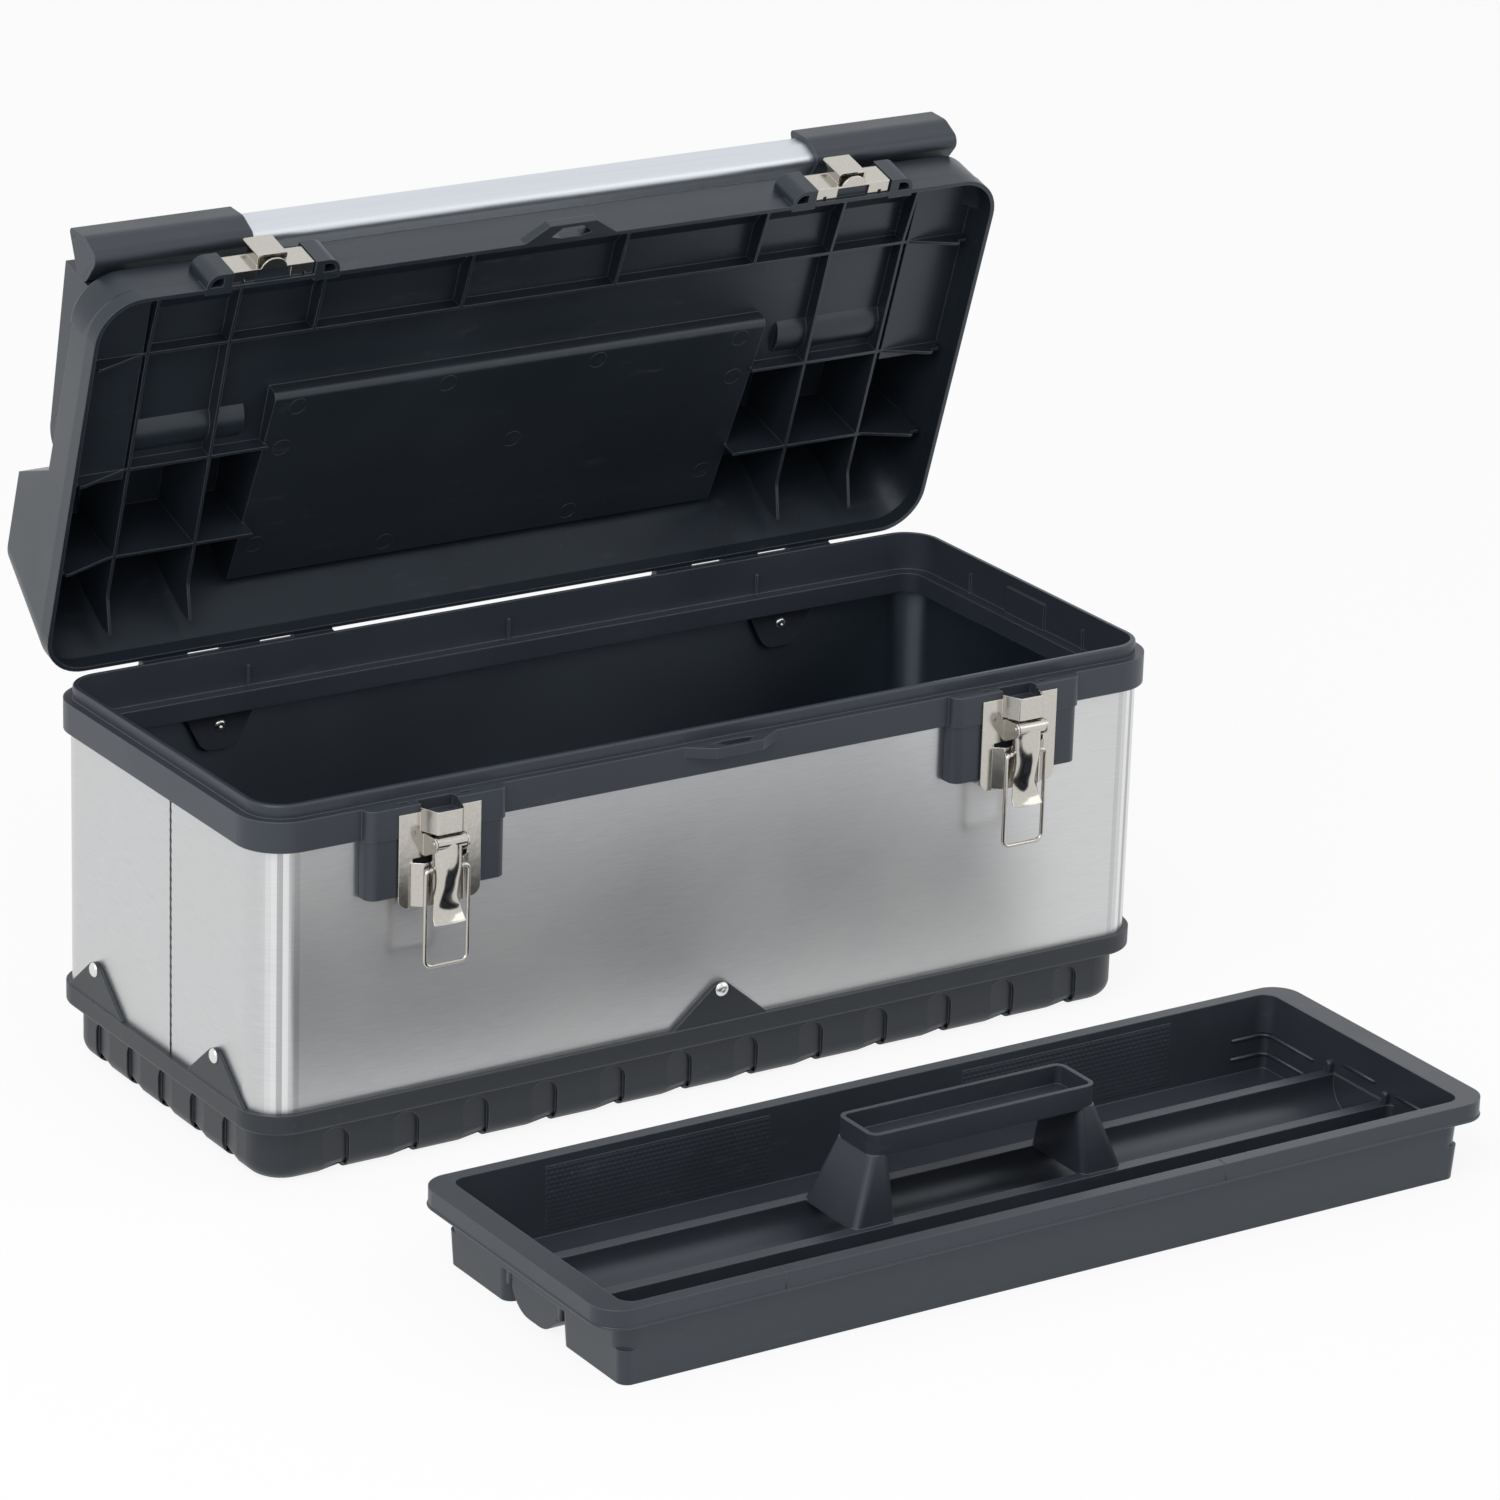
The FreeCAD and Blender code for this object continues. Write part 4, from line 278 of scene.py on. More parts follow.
def mixed_out(tree, out, factor, plain, shown):
    """Two shaders mixed by a factor socket and led to the output node."""
    mix = node(tree, "MixShader")
    link(tree, factor, mix.inputs[0])
    link(tree, plain.outputs[0], mix.inputs[1])
    link(tree, shown.outputs[0], mix.inputs[2])
    link(tree, mix.outputs[0], out.inputs[0])


def make_world():
    """An even white surround that lights the object at a lower level than it shows."""
    world = bpy.data.worlds.new("studio")
    scene.world = world
    world.use_nodes = True
    tree = world.node_tree
    tree.nodes.clear()
    out = node(tree, "OutputWorld")
    lit = node(tree, "Background", Color=WHITE, Strength=WORLD_LIGHT)
    shown = node(tree, "Background", Color=WHITE, Strength=1.0)
    mixed_out(tree, out, seen_by_eye(tree), lit, shown)


def make_lamp(name, place, size, power):
    """A soft square lamp that points at the case."""
    data = bpy.data.lights.new(name, "AREA")
    data.size = size
    data.energy = power
    lamp = bpy.data.objects.new(name, data)
    scene.collection.objects.link(lamp)
    turn = (Vector(LAMP_AIM) - Vector(place)).to_track_quat("-Z", "Y").to_matrix().to_4x4()
    lamp.matrix_world = Matrix.Translation(place) @ turn


def make_floor():
    """A wide pale floor that stays near white to the eye and keeps a soft shadow."""
    half = FLOOR_HALF
    mesh = bpy.data.meshes.new("floor")
    corners = [(-half, -half, 0), (half, -half, 0), (half, half, 0), (-half, half, 0)]
    mesh.from_pydata(corners, [], [(0, 1, 2, 3)])
    floor = bpy.data.objects.new("floor", mesh)
    scene.collection.objects.link(floor)
    material = bpy.data.materials.new("pale_floor")
    material.use_nodes = True
    tree = material.node_tree
    tree.nodes.clear()
    out = node(tree, "OutputMaterial")
    shade = node(tree, "BsdfDiffuse", Color=FLOOR_TONE)
    white = node(tree, "Emission", Color=WHITE, Strength=1.0)
    mixed_out(tree, out, math(tree, "MULTIPLY", seen_by_eye(tree), FLOOR_WHITE), shade, white)
    mesh.materials.append(material)


def new_group(name, inputs, outputs):
    """An empty node group with sockets by name and kind."""
    group = bpy.data.node_groups.new(name, "ShaderNodeTree")
    for socket, kind in inputs.items():
        group.interface.new_socket(socket, in_out="INPUT", socket_type="NodeSocket" + kind)
    for socket, kind in outputs.items():
        group.interface.new_socket(socket, in_out="OUTPUT", socket_type="NodeSocket" + kind)
    return group, group.nodes.new("NodeGroupInput"), group.nodes.new("NodeGroupOutput")


def use_group(tree, group, **values):
    """A node of a group in a tree, with plain values on its inputs."""
    made = node(tree, "Group")
    made.node_tree = group
    for name, value in values.items():
        made.inputs[name].default_value = value
    return made


def grain_group():
    """Moulded plastic: a spark-eroded grain's height, slow patches of gloss, and sparse dust and scuffs."""
    outputs = {"Height": "Float", "Patches": "Float", "Scuffs": "Float"}
    group, _, out = new_group("moulded_grain", {}, outputs)
    place = node(group, "TexCoord").outputs["Object"]
    fine = node(group, "TexNoise", Scale=1500.0, Detail=2.0)
    slow = node(group, "TexNoise", Scale=11.0, Detail=4.0)
    streaks = vector_math(group, "MULTIPLY", place, SCUFF_STRETCH)
    smear = node(group, "TexNoise", Scale=1.0, Detail=5.0, Roughness=0.65)
    dust = node(group, "TexNoise", Scale=420.0, Detail=1.0)
    for texture in (fine, slow, dust):
        link(group, place, texture.inputs["Vector"])
    link(group, streaks.outputs[0], smear.inputs["Vector"])
    scuffs = spread(group, smear.outputs["Fac"], *SCUFF_SPAN, 0.0, 1.0)
    specks = spread(group, dust.outputs["Fac"], *SPECK_SPAN, 0.0, 1.0)
    link(group, fine.outputs["Fac"], out.inputs["Height"])
    link(group, slow.outputs["Fac"], out.inputs["Patches"])
    link(group, math(group, "MAXIMUM", scuffs, specks), out.inputs["Scuffs"])
    return group


def edge_group():
    """Softened edges: the normal eased over a radius, and a mask of where that turns it off the face."""
    group, into, out = new_group("edge_wear_and_highlight", {"Radius": "Float"}, {"Edge": "Float", "Normal": "Vector"})
    bevel = node(group, "Bevel", samples=4)
    link(group, into.outputs["Radius"], bevel.inputs["Radius"])
    face = node(group, "NewGeometry")
    turn = vector_math(group, "DOT_PRODUCT", bevel.outputs[0], face.outputs["Normal"])
    link(group, spread(group, turn.outputs["Value"], *EDGE_SPAN, 0.0, 1.0), out.inputs["Edge"])
    link(group, bevel.outputs[0], out.inputs["Normal"])
    return group


def line_group():
    """Drawn or brushed metal: noise stretched along the lines, once fine and once broad."""
    group, into, out = new_group("drawn_lines", {"Stretch": "Vector"}, {"Fine": "Float", "Broad": "Float"})
    place = node(group, "TexCoord").outputs["Object"]
    for name, share, detail in (("Fine", 1.0, 3.0), ("Broad", 0.09, 4.0)):
        stretched = vector_math(group, "MULTIPLY", place, into.outputs["Stretch"])
        noise = node(group, "TexNoise", Scale=share, Detail=detail, Roughness=0.6)
        link(group, stretched.outputs[0], noise.inputs["Vector"])
        link(group, noise.outputs["Fac"], out.inputs[name])
    return group


def new_material(name):
    """An empty material and its Principled shader."""
    material = bpy.data.materials.new(name)
    material.use_nodes = True
    return material, material.node_tree, material.node_tree.nodes["Principled BSDF"]


def bumped(tree, height, bumps, normal=None):
    """A normal bumped by a height, over a softened one if given."""
    strength, depth = bumps
    bump = node(tree, "Bump", Strength=strength, Distance=depth)
    link(tree, height, bump.inputs["Height"])
    if normal:
        link(tree, normal, bump.inputs["Normal"])
    return bump.outputs[0]


def plastic(name, colour, rough, edge_radius, edge_wear_and_highlight_tone=PALE_EDGE_WEAR_AND_HIGHLIGHT, scuff_tone=PALE_SCUFF):
    """Black moulded plastic: grain, patches of gloss, pale edges that are partly wear and partly painted
    highlight, and a few scuffs.
    """
    material, tree, shader = new_material(name)
    grain = use_group(tree, GRAIN)
    edge = use_group(tree, EDGES, Radius=edge_radius)
    dark, pale = (tuple(share * c for c in colour) for share in (1 - TONE_SWING, 1 + TONE_SWING))
    tone = blend(tree, grain.outputs["Patches"], dark, pale)
    tone = blend(tree, math(tree, "MULTIPLY", grain.outputs["Scuffs"], SCUFF_SHARE), tone, scuff_tone)
    # Pale edges: partly wear, partly painted highlight.
    tone = blend(tree, math(tree, "MULTIPLY", edge.outputs["Edge"], EDGE_SHARE), tone, edge_wear_and_highlight_tone)
    link(tree, tone, shader.inputs["Base Color"])
    shader.inputs["Specular IOR Level"].default_value = SHEEN_LEVEL
    shader.inputs["Specular Tint"].default_value = SHEEN_TINT
    gloss = spread(tree, grain.outputs["Patches"], *NOISE_SPAN, rough - GLOSS_SWING, rough + GLOSS_SWING)
    gloss = math(tree, "ADD", gloss, math(tree, "MULTIPLY", grain.outputs["Scuffs"], SCUFF_DULLING))
    link(tree, gloss, shader.inputs["Roughness"])
    normal = bumped(tree, grain.outputs["Height"], GRAIN_BUMP, edge.outputs["Normal"])
    link(tree, normal, shader.inputs["Normal"])
    return material


def painted_corner_reflections(tree, normal):
    """Painted reflections: upright light and dark bands on the sheet's round corners, by the way the face
    points, which stand for the reflections that a studio draws there."""
    parts = node(tree, "SeparateXYZ")
    link(tree, normal, parts.inputs[0])
    ramp = node(tree, "ValToRGB")
    link(tree, math(tree, "ABSOLUTE", parts.outputs["X"], 0), ramp.inputs[0])
    stops = ramp.color_ramp.elements
    while len(stops) < len(CORNER_REFLECTION_BANDS):
        stops.new(0.5)
    for stop, (place, share) in zip(stops, CORNER_REFLECTION_BANDS):
        stop.position = place
        stop.color = (share / REFLECTION_BAND_MOST,) * 3 + (1,)
    return math(tree, "MULTIPLY", ramp.outputs["Color"], REFLECTION_BAND_MOST)


def sheet_steel():
    """Satin steel sheet: level brushing, upright reflections, painted reflection bands on the corners, cloudy
    patches and a dark inside that is painted shade.
    """
    material, tree, shader = new_material("steel_sheet")
    lines = use_group(tree, LINES, Stretch=STEEL_LINES)
    normal = node(tree, "NewGeometry").outputs["True Normal"]
    place = node(tree, "TexCoord").outputs["Object"]
    level = vector_math(tree, "MULTIPLY", place, OUTWARD_WEIGHTS)
    outward = vector_math(tree, "DOT_PRODUCT", level.outputs[0], normal)
    inside = spread(tree, outward.outputs["Value"], *INSIDE_SPAN, 1.0, 0.0)
    cloud = node(tree, "TexNoise", Scale=7.0, Detail=3.0)
    link(tree, place, cloud.inputs["Vector"])
    tone = blend(tree, lines.outputs["Fine"], STEEL_DARK, STEEL_LIGHT)
    clouded = spread(tree, cloud.outputs["Fac"], *NOISE_UPPER, 0.0, CLOUD_SHARE)
    tone = blend(tree, clouded, tone, STEEL_CLOUD)
    # Painted reflections: light and dark bands on the round corners.
    tone = scaled(tree, tone, painted_corner_reflections(tree, normal))
    # A dark tone over the sheet's inside: painted shade.
    tone = blend(tree, inside, tone, STEEL_INSIDE_SHADE)
    link(tree, tone, shader.inputs["Base Color"])
    shader.inputs["Metallic"].default_value = 1.0
    link(tree, spread(tree, cloud.outputs["Fac"], *NOISE_SPAN, *STEEL_ROUGH), shader.inputs["Roughness"])
    shader.inputs["Anisotropic"].default_value = SHINE_STRETCH
    shader.inputs["Anisotropic Rotation"].default_value = SHINE_TURN
    tangent = node(tree, "Tangent", direction_type="RADIAL", axis="Z")
    link(tree, tangent.outputs[0], shader.inputs["Tangent"])
    link(tree, bumped(tree, lines.outputs["Fine"], STEEL_BUMP), shader.inputs["Normal"])
    return material


def bright_plate(name, colour, rough):
    """Bright plated pressings: a slightly rippled surface with fine rubs and light edges."""
    material, tree, shader = new_material(name)
    edge = use_group(tree, EDGES, Radius=PLATE_WEAR)
    place = node(tree, "TexCoord").outputs["Object"]
    ripple = node(tree, "TexNoise", Scale=150.0, Detail=2.0)
    rubs = node(tree, "TexNoise", Scale=900.0, Detail=4.0, Roughness=0.7)
    for texture in (ripple, rubs):
        link(tree, place, texture.inputs["Vector"])
    dull = tuple(PLATE_DULL * c for c in colour)
    tone = blend(tree, spread(tree, rubs.outputs["Fac"], *NOISE_UPPER, 0.0, 1.0), colour, dull)
    tone = blend(tree, math(tree, "MULTIPLY", edge.outputs["Edge"], PLATE_EDGE_SHARE), tone, PLATE_EDGE)
    link(tree, tone, shader.inputs["Base Color"])
    shader.inputs["Metallic"].default_value = 1.0
    gloss = spread(tree, rubs.outputs["Fac"], *NOISE_SPAN, rough - PLATE_BRIGHTER, rough + PLATE_DULLER)
    link(tree, gloss, shader.inputs["Roughness"])
    normal = bumped(tree, ripple.outputs["Fac"], PLATE_BUMP, edge.outputs["Normal"])
    link(tree, normal, shader.inputs["Normal"])
    return material


def drawn_aluminium():
    """Satin extruded aluminium: fine lines along the bar and soft bands of tone."""
    material, tree, shader = new_material("grip_metal")
    lines = use_group(tree, LINES, Stretch=BAR_LINES)
    edge = use_group(tree, EDGES, Radius=BAR_WEAR)
    tone = blend(tree, lines.outputs["Fine"], BAR_DARK, BAR_LIGHT)
    banded = spread(tree, lines.outputs["Broad"], *NOISE_UPPER, 0.0, BAND_SHARE)
    tone = blend(tree, banded, tone, BAR_BAND)
    link(tree, tone, shader.inputs["Base Color"])
    shader.inputs["Metallic"].default_value = 1.0
    link(tree, spread(tree, lines.outputs["Broad"], *NOISE_SPAN, *BAR_ROUGH), shader.inputs["Roughness"])
    normal = bumped(tree, lines.outputs["Fine"], BAR_BUMP, edge.outputs["Normal"])
    link(tree, normal, shader.inputs["Normal"])
    return material


def dress(material, *names):
    """Gives CAD nodes their material."""
    for name in names:
        mesh = nodes[name].data
        mesh.materials.clear()
        mesh.materials.append(material)


def grid_faces(rows, columns, wrap_rows, wrap_columns):
    """Four-sided faces over a grid of points, closed round either way if asked."""
    index = np.arange(rows * columns).reshape(rows, columns)
    if wrap_rows:
        index = np.vstack([index, index[:1]])
    if wrap_columns:
        index = np.hstack([index, index[:, :1]])
    corners = [index[:-1, :-1], index[1:, :-1], index[1:, 1:], index[:-1, 1:]]
    return np.stack(corners, axis=-1).reshape(-1, 4).tolist()


def tube_faces(rows, columns):
    """Faces of a tube whose rings follow each other, with a cap on each end."""
    caps = [list(range(columns)), list(range((rows - 1) * columns, rows * columns))]
    return grid_faces(rows, columns, False, True) + caps


def add_piece(name, body, material, groups):
    """One object from groups of points in millimetres and faces, welded, riding on a body."""
    points = np.concatenate([group[0] for group in groups]) * MM
    faces, start = [], 0
    for spots, polygons in groups:
        faces += [[corner + start for corner in polygon] for polygon in polygons]
        start += len(spots)
    mesh = bpy.data.meshes.new(name)
    mesh.from_pydata(points.tolist(), [], faces)
    work = bmesh.new()
    work.from_mesh(mesh)
    bmesh.ops.remove_doubles(work, verts=work.verts, dist=WELD)
    bmesh.ops.recalc_face_normals(work, faces=work.faces)
    work.to_mesh(mesh)
    work.free()
    mesh.shade_smooth()
    mesh.materials.append(material)
    piece = bpy.data.objects.new(name, mesh)
    scene.collection.objects.link(piece)
    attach(piece, body)
    return piece


def unit(vectors):
    """Vectors scaled to length one."""
    return vectors / np.linalg.norm(vectors, axis=-1, keepdims=True)


def rounded_path(corners, radii, closed=False, steps=9):
    """Points and directions along straight runs joined by arcs: on each arc the spoke from its centre turns
    evenly from the first run to the second."""
    corners = np.array(corners, float)
    count = len(corners)
    places, ways = [], []
    share = np.linspace(0, 1, steps)[:, None]
    for index in range(count) if closed else range(1, count - 1):
        spot, radius = corners[index], radii[index]
        back = unit(corners[index - 1] - spot)
        ahead = unit(corners[(index + 1) % count] - spot)
        half = np.arccos(back @ ahead) / 2
        centre = spot + unit(back + ahead) * radius / np.sin(half)
        first = spot + back * radius / np.tan(half) - centre
        second = spot + ahead * radius / np.tan(half) - centre
        turn = np.pi - 2 * half
        spoke = np.sin((1 - share) * turn) * first + np.sin(share * turn) * second
        places.append(centre + spoke / np.sin(turn))
        ways.append(unit(np.cos(share * turn) * second - np.cos((1 - share) * turn) * first))
    if not closed:
        places = [corners[:1]] + places + [corners[-1:]]
        ways = [unit(corners[1:2] - corners[:1])] + ways + [unit(corners[-1:] - corners[-2:-1])]
    return np.concatenate(places), np.concatenate(ways)


def box_path(centre_x, centre_y, half_x, half_y, level, radius):
    """A path round a level rectangle with rounded corners."""
    turns = ((-1, -1), (1, -1), (1, 1), (-1, 1))
    corners = [(centre_x + x * half_x, centre_y + y * half_y, level) for x, y in turns]
    return rounded_path(corners, [radius] * 4, closed=True, steps=14)


def straight_path(start, stop):
    """The ends and directions of one straight run."""
    path = np.array([start, stop], float)
    return path, unit(path[1:] - path[:1]).repeat(2, axis=0)


def carried(path, ways, up, profile, closed=False):
    """A closed profile carried along a flat path: its first measure lies across the path and its second along
    the path plane's upright."""
    up = np.array(up, float)
    across = np.cross(ways, up)
    points = path[:, None] + profile[None, :, :1] * across[:, None] + profile[None, :, 1:] * up
    rows, columns = points.shape[:2]
    faces = grid_faces(rows, columns, True, True) if closed else tube_faces(rows, columns)
    return points.reshape(-1, 3), faces


def ring_of(radius, sides, stretch=1.0):
    """A circle's points, with its second measure stretched."""
    turn = np.linspace(0, 2 * np.pi, sides, endpoint=False)
    return np.stack([radius * np.cos(turn), radius * stretch * np.sin(turn)], axis=-1)


def turned(centre, axis, radii, heights, sides=28):
    """A surface of revolution about a level axis: each radius and height goes round it in a full turn."""
    axis = np.array(axis, float)
    side = unit(np.cross(axis, Z_WAY))
    other = np.cross(axis, side)
    turn = np.linspace(0, 2 * np.pi, sides, endpoint=False)
    spokes = np.cos(turn)[:, None] * side + np.sin(turn)[:, None] * other
    points = np.array(centre, float) + radii[:, None, None] * spokes + heights[:, None, None] * axis
    return points.reshape(-1, 3), grid_faces(len(radii), sides, False, True)


def dome_profile(radius, height, dimple, dimple_width):
    """A rivet head: height falls as the root of one less the radius squared, less a bell-shaped dimple in the
    middle, and a flat foot closes it below."""
    share = np.sin(np.linspace(0, np.pi / 2, DOME_RINGS))
    heights = height * np.sqrt(1 - share ** 2) - dimple * np.exp(-(share * radius / dimple_width) ** 2)
    return np.append(share * radius, 0.0), np.append(heights, DOME_FOOT)


def rivet_domes():
    """Smooth heads over the rivets, and the set ends of the collar's rivets inside the case."""
    head, set_end = dome_profile(*HEAD), dome_profile(*SET_END)
    domes = [turned((0, side * TAB_FRONT, BASE_RIVET_Z), (0, side, 0), *head) for side in BOTH]
    domes += [turned((side * TAB_END, hand * END_RIVET_Y, BASE_RIVET_Z), (side, 0, 0), *head)
              for side in BOTH for hand in BOTH]
    add_piece("base_rivet_domes", "case", RIVET, domes)
    domes = [turned((side * LATCH_X, SHEET_BACK, COLLAR_RIVET_Z), Y_WAY, *head) for side in BOTH]
    domes += [turned((side * LATCH_X, hand * INNER_TAB, COLLAR_RIVET_Z), (0, -hand, 0), *set_end)
              for side in BOTH for hand in BOTH]
    add_piece("collar_rivet_domes", "case", RIVET, domes)


def seam_run(low, high, half_width):
    """An upright flat oval bar, half sunk in the sheet."""
    path, ways = straight_path((SEAM_X, SEAM_Y, low), (SEAM_X, SEAM_Y, high))
    return carried(path, ways, Y_WAY, ring_of(SEAM_DEPTH, SEAM_SIDES, half_width / SEAM_DEPTH))


def seam_fold():
    """The sheet's lock seam on the left: a flat oval carried up it and short wider ones in a row, near-black
    as painted shade.
    """
    crimps = [seam_run(low, low + CRIMP_LENGTH, CRIMP_HALF)
              for low in np.arange(CRIMP_LOW, CRIMP_HIGH, CRIMP_PITCH)]
    groups = [seam_run(SEAM_LOW, SEAM_HIGH, SEAM_HALF)] + crimps
    add_piece("sleeve_seam_fold", "case", SEAM_SHADE, groups)


def foot_cove():
    """A thin cove round the foot of the base's inside: two quarter circles about one centre, carried round a
    rounded rectangle."""
    path, ways = box_path(0, 0, COVE_HALF_X, COVE_HALF_Y, 0.0, COVE_CORNER)
    turn = np.linspace(np.pi, 1.5 * np.pi, COVE_STEPS)
    spokes = np.stack([-np.cos(turn), np.sin(turn)], axis=-1)
    inner = (COVE_IN, COVE_UP) + COVE_INNER * spokes
    outer = (COVE_IN, COVE_UP) + COVE_OUTER * spokes
    cove = carried(path, ways, Z_WAY, np.concatenate([inner, outer[::-1]]), closed=True)
    add_piece("base_foot_cove", "case", BASE_SHADED, [cove])


def wire_bails():
    """Round wire loops in place of the faceted ones: a circle carried round the latch's loop."""
    spots = [(LOOP_GAP, LOOP_TOP), (LOOP_HALF, LOOP_TOP), (LOOP_HALF, LOOP_FOOT),
             (-LOOP_HALF, LOOP_FOOT), (-LOOP_HALF, LOOP_TOP), (-LOOP_GAP, LOOP_TOP)]
    for hand, side in (("left", -1), ("right", 1)):
        corners = [(side * LATCH_X + x, LOOP_Y, z) for x, z in spots]
        path, ways = rounded_path(corners, [0, LOOP_HOOK, LOOP_BEND, LOOP_BEND, LOOP_HOOK, 0])
        wire = carried(path, ways, Y_WAY, ring_of(WIRE_RADIUS, WIRE_SIDES))
        bail = add_piece("bail_wire_" + hand, "bail_" + hand, PLATE, [wire])
        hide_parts("latch_bail_" + hand)


def tray_wall(half, level):
    """How far the tray's leaning inner wall stands from the tray's middle at a level."""
    return half - TRAY_DRAFT * (TRAY_TOP - level)


def grip_patches():
    """Two finely ribbed patches on the tray's back wall: the height over the wall is a raised cosine of z, in
    rows, times a cosine of x that shifts by half a dash on each other row, and falls away at the border."""
    for name, low_x, high_x in PATCHES:
        x = np.linspace(low_x, high_x, PATCH_COLUMNS)
        z = np.linspace(PATCH_LOW, PATCH_HIGH, PATCH_ROWS)
        along, rise = np.meshgrid(x, z)
        row = rise / PATCH_ROW
        wave = np.cos(2 * np.pi * along / PATCH_DASH + np.pi * np.floor(row + 0.5))
        dash = 1 - DASH_SHARE + DASH_SHARE * wave
        height = PATCH_RELIEF * (0.5 + 0.5 * np.cos(2 * np.pi * row)) * dash
        inner = (along > low_x) & (along < high_x) & (rise > PATCH_LOW) & (rise < PATCH_HIGH)
        height = np.where(inner, height + PATCH_LIFT, -PATCH_SINK)
        wall = TRAY_Y + tray_wall(TRAY_HALF_Y, rise)
        front = np.stack([along, wall - height, rise], axis=-1).reshape(-1, 3)
        back = np.stack([along, wall + PATCH_BACK, rise], axis=-1)[[0, 0, -1, -1], [0, -1, -1, 0]]
        count, last = len(x), len(x) * (len(z) - 1)
        base = len(front)
        bottom, top = list(range(count)), list(range(last, last + count))
        left, right = list(range(0, last + 1, count)), list(range(count - 1, last + count, count))
        faces = grid_faces(len(z), count, False, False)
        faces += [bottom + [base + 1, base], top[::-1] + [base + 3, base + 2]]
        faces += [left[::-1] + [base, base + 3], right + [base + 2, base + 1]]
        faces.append([base, base + 1, base + 2, base + 3])
        add_piece(name, "tray", TRAY, [(np.vstack([front, back]), faces)])


def tray_end_ribs():
    """Half-round ribs that turn the tray's inner corners, and short ones in the trough and front bay: a small
    flattened circle carried along each run."""
    ribs, profile = [], ring_of(RIB_RADIUS, RIB_SIDES, RIB_FLAT)
    for side in BOTH:
        for level, reach in CORNER_RIBS:
            end = TRAY_X + side * tray_wall(TRAY_HALF_X, level)
            back = TRAY_Y + tray_wall(TRAY_HALF_Y, level)
            corners = [(end - side * RIB_RUN, back, level), (end, back, level), (end, back - reach, level)]
            ribs.append(carried(*rounded_path(corners, [0, RIB_BEND, 0]), Z_WAY, profile))
        for level, start, stop in SHORT_RIBS:
            end = TRAY_X + side * tray_wall(TRAY_HALF_X, level)
            ribs.append(carried(*straight_path((end, start, level), (end, stop, level)), Z_WAY, profile))
    add_piece("tray_end_ribs", "tray", TRAY, ribs)


def tray_divider_posts():
    """Posts at the dividers' ends: an outline between a circle and a square, whose measures are the roots of
    a circle's, goes up and shrinks at the top."""
    circle = ring_of(1.0, POST_SIDES)
    outline = np.sign(circle) * np.abs(circle) ** POST_SQUARENESS * POST_HALF
    rings = [np.insert(outline * share, 2, level, axis=1) for level, share in POST_LEVELS]
    faces = tube_faces(len(POST_LEVELS), POST_SIDES)
    posts = [(np.concatenate(rings) + (TRAY_X + side * POST_X, place, 0.0), faces)
             for side in BOTH for place in POST_PLACES]
    add_piece("tray_divider_posts", "tray", TRAY, posts)


def tray_rim_foot():
    """A thin bead round the foot of the tray's rim and mould lines up its front and back: a small circle
    carried round a rounded rectangle, and short flat ridges over the rim."""
    path, ways = box_path(TRAY_X, TRAY_Y, BEAD_HALF_X, BEAD_HALF_Y, BEAD_Z, BEAD_CORNER)
    bead = carried(path, ways, Z_WAY, ring_of(BEAD_RADIUS, BEAD_SIDES), closed=True)
    add_piece("tray_rim_bead", "tray", TRAY, [bead])
    lines, profile = [], ring_of(LINE_RADIUS, LINE_SIDES, LINE_FLAT)
    for side in BOTH:
        outer = TRAY_Y + side * LINE_HALF_Y
        for place in LINE_PLACES:
            corners = [(place, outer, LINE_LOW), (place, outer, LINE_HIGH),
                       (place, outer - side * LINE_OVER, LINE_HIGH)]
            lines.append(carried(*rounded_path(corners, [0, LINE_BEND, 0], steps=5), X_WAY, profile))
    add_piece("tray_mould_lines", "tray", TRAY, lines)


def lid_spots(local):
    """The resting lid's points for x, places forward of its rear edge and heights above its rim."""
    back, rise = LID_BACK - local[:, 1], LID_RISE + local[:, 2]
    y = PIVOT_Y + back * np.cos(LID_TURN) + rise * np.sin(LID_TURN)
    z = PIVOT_Z - back * np.sin(LID_TURN) + rise * np.cos(LID_TURN)
    return np.stack([local[:, 0], y, z], axis=-1)


def mould_rings():
    """Pusher marks on the well's underside: thin rings half sunk in the sloping face, each a small flattened
    circle carried round a larger one."""
    start, stop = lid_spots(np.array(WELL_ENDS))
    slope, across = unit(stop - start), np.array(X_WAY, float)
    normal = np.cross(slope, across)
    turn = np.linspace(0, 2 * np.pi, MARK_STEPS, endpoint=False)[:, None]
    ways = np.cos(turn) * slope - np.sin(turn) * across
    circle = MARK_RADIUS * (np.cos(turn) * across + np.sin(turn) * slope)
    profile = ring_of(MARK_WIRE, MARK_SIDES, MARK_FLAT)
    marks = PAIRED_MARKS + (ODD_MARK,) + tuple((-x, along) for x, along in PAIRED_MARKS)
    rings = [carried(start + slope * along + across * x + circle, ways, normal, profile, closed=True)
             for x, along in marks]
    add_piece("lid_mould_rings", "lid", MARK, rings)


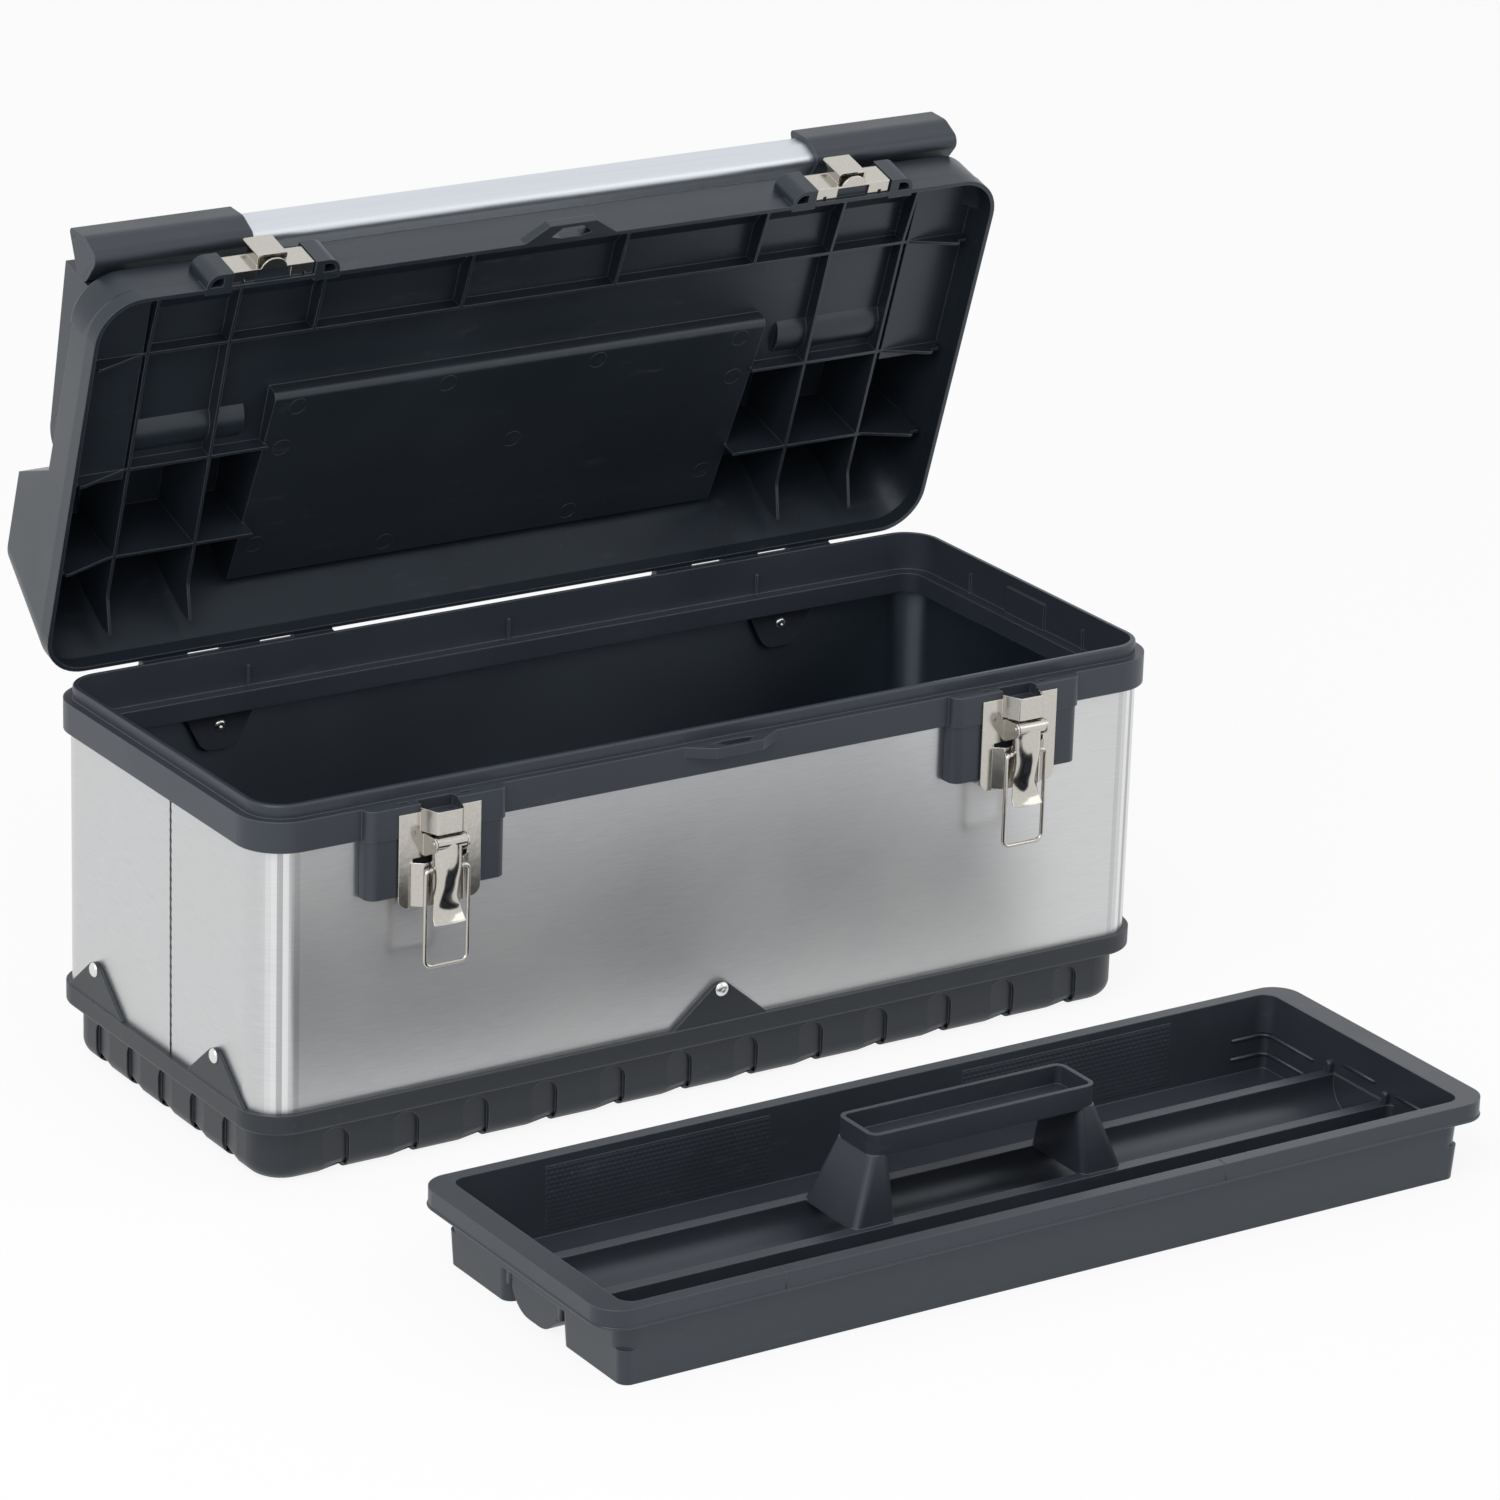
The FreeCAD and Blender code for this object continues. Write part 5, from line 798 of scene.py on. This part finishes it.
def front_brow():
    """The lid's front wall carried up under the grip: a blunt upright strip's outline goes along the front
    and round both corners, and a wedge behind it goes straight across between the arm channels."""
    corners = [(-BROW_HALF_X, BROW_START, 0.0), (-BROW_HALF_X, BROW_FRONT, 0.0),
               (BROW_HALF_X, BROW_FRONT, 0.0), (BROW_HALF_X, BROW_START, 0.0)]
    path, ways = rounded_path(corners, [0, BROW_CORNER, BROW_CORNER, 0], steps=13)
    strip = carried(path, ways, Z_WAY, np.array(BROW_STRIP))
    path, ways = straight_path((-WEDGE_HALF_X, BROW_FRONT, 0.0), (WEDGE_HALF_X, BROW_FRONT, 0.0))
    wedge = carried(path, ways, Z_WAY, np.array(BROW_WEDGE))
    groups = [(lid_spots(spots), faces) for spots, faces in (strip, wedge)]
    brow = add_piece("lid_front_brow", "lid", LID, groups)
    brow.data.set_sharp_from_angle(angle=BROW_SHARP)


make_camera()
make_world()
make_floor()
make_lamp("key_lamp", place=(-1.9, -1.2, 2.3), size=2.2, power=50)
make_lamp("fill_lamp", place=(2.4, -1.6, 1.6), size=2.0, power=12)
GRAIN, EDGES, LINES = grain_group(), edge_group(), line_group()
CASE = plastic("case_moulding", CASE_BLACK, rough=0.39, edge_radius=0.0009)
# The base's material: a darker copy of the case's plastic, as painted shade.
BASE_SHADED = plastic("base_moulding", BASE_SHADED_BLACK, rough=0.42, edge_radius=0.0009)
LID = plastic("lid_moulding", LID_BLACK, rough=0.33, edge_radius=0.0007)
MARK = plastic("mark_moulding", LID_BLACK, rough=0.33, edge_radius=0.0002, edge_wear_and_highlight_tone=FAINT_EDGE_WEAR_AND_HIGHLIGHT)
# The seam's material: near-black, as painted shade in the fold.
SEAM_SHADE = plastic("seam_painted_shade", SEAM_SHADE_BLACK, rough=0.42, edge_radius=0.0002, edge_wear_and_highlight_tone=FAINT_EDGE_WEAR_AND_HIGHLIGHT,
               scuff_tone=FAINT_EDGE_WEAR_AND_HIGHLIGHT)
TRAY = plastic("tray_moulding", TRAY_BLACK, rough=0.35, edge_radius=0.0008)
ARMS = plastic("handle_moulding", ARM_BLACK, rough=0.38, edge_radius=0.001)
STEEL = sheet_steel()
PLATE = bright_plate("bright_plating", PLATE_TONE, rough=0.15)
RIVET = bright_plate("rivet_metal", RIVET_TONE, rough=0.26)
GRIP = drawn_aluminium()
dress(CASE, "collar")
dress(BASE_SHADED, "base_tub")
dress(LID, "lid_shell")
dress(TRAY, "tool_tray")
dress(STEEL, "steel_sleeve")
dress(GRIP, "handle_bar")
dress(RIVET, "base_rivets", "collar_rivets")
dress(ARMS, *[name for name in nodes if name.startswith(("handle_arm", "grip_end", "pivot"))])
dress(PLATE, *[name for name in nodes if name.startswith(("latch", "lever", "hinge", "keeper"))])
rivet_domes()
seam_fold()
foot_cove()
wire_bails()
grip_patches()
tray_end_ribs()
tray_divider_posts()
tray_rim_foot()
mould_rings()
front_brow()
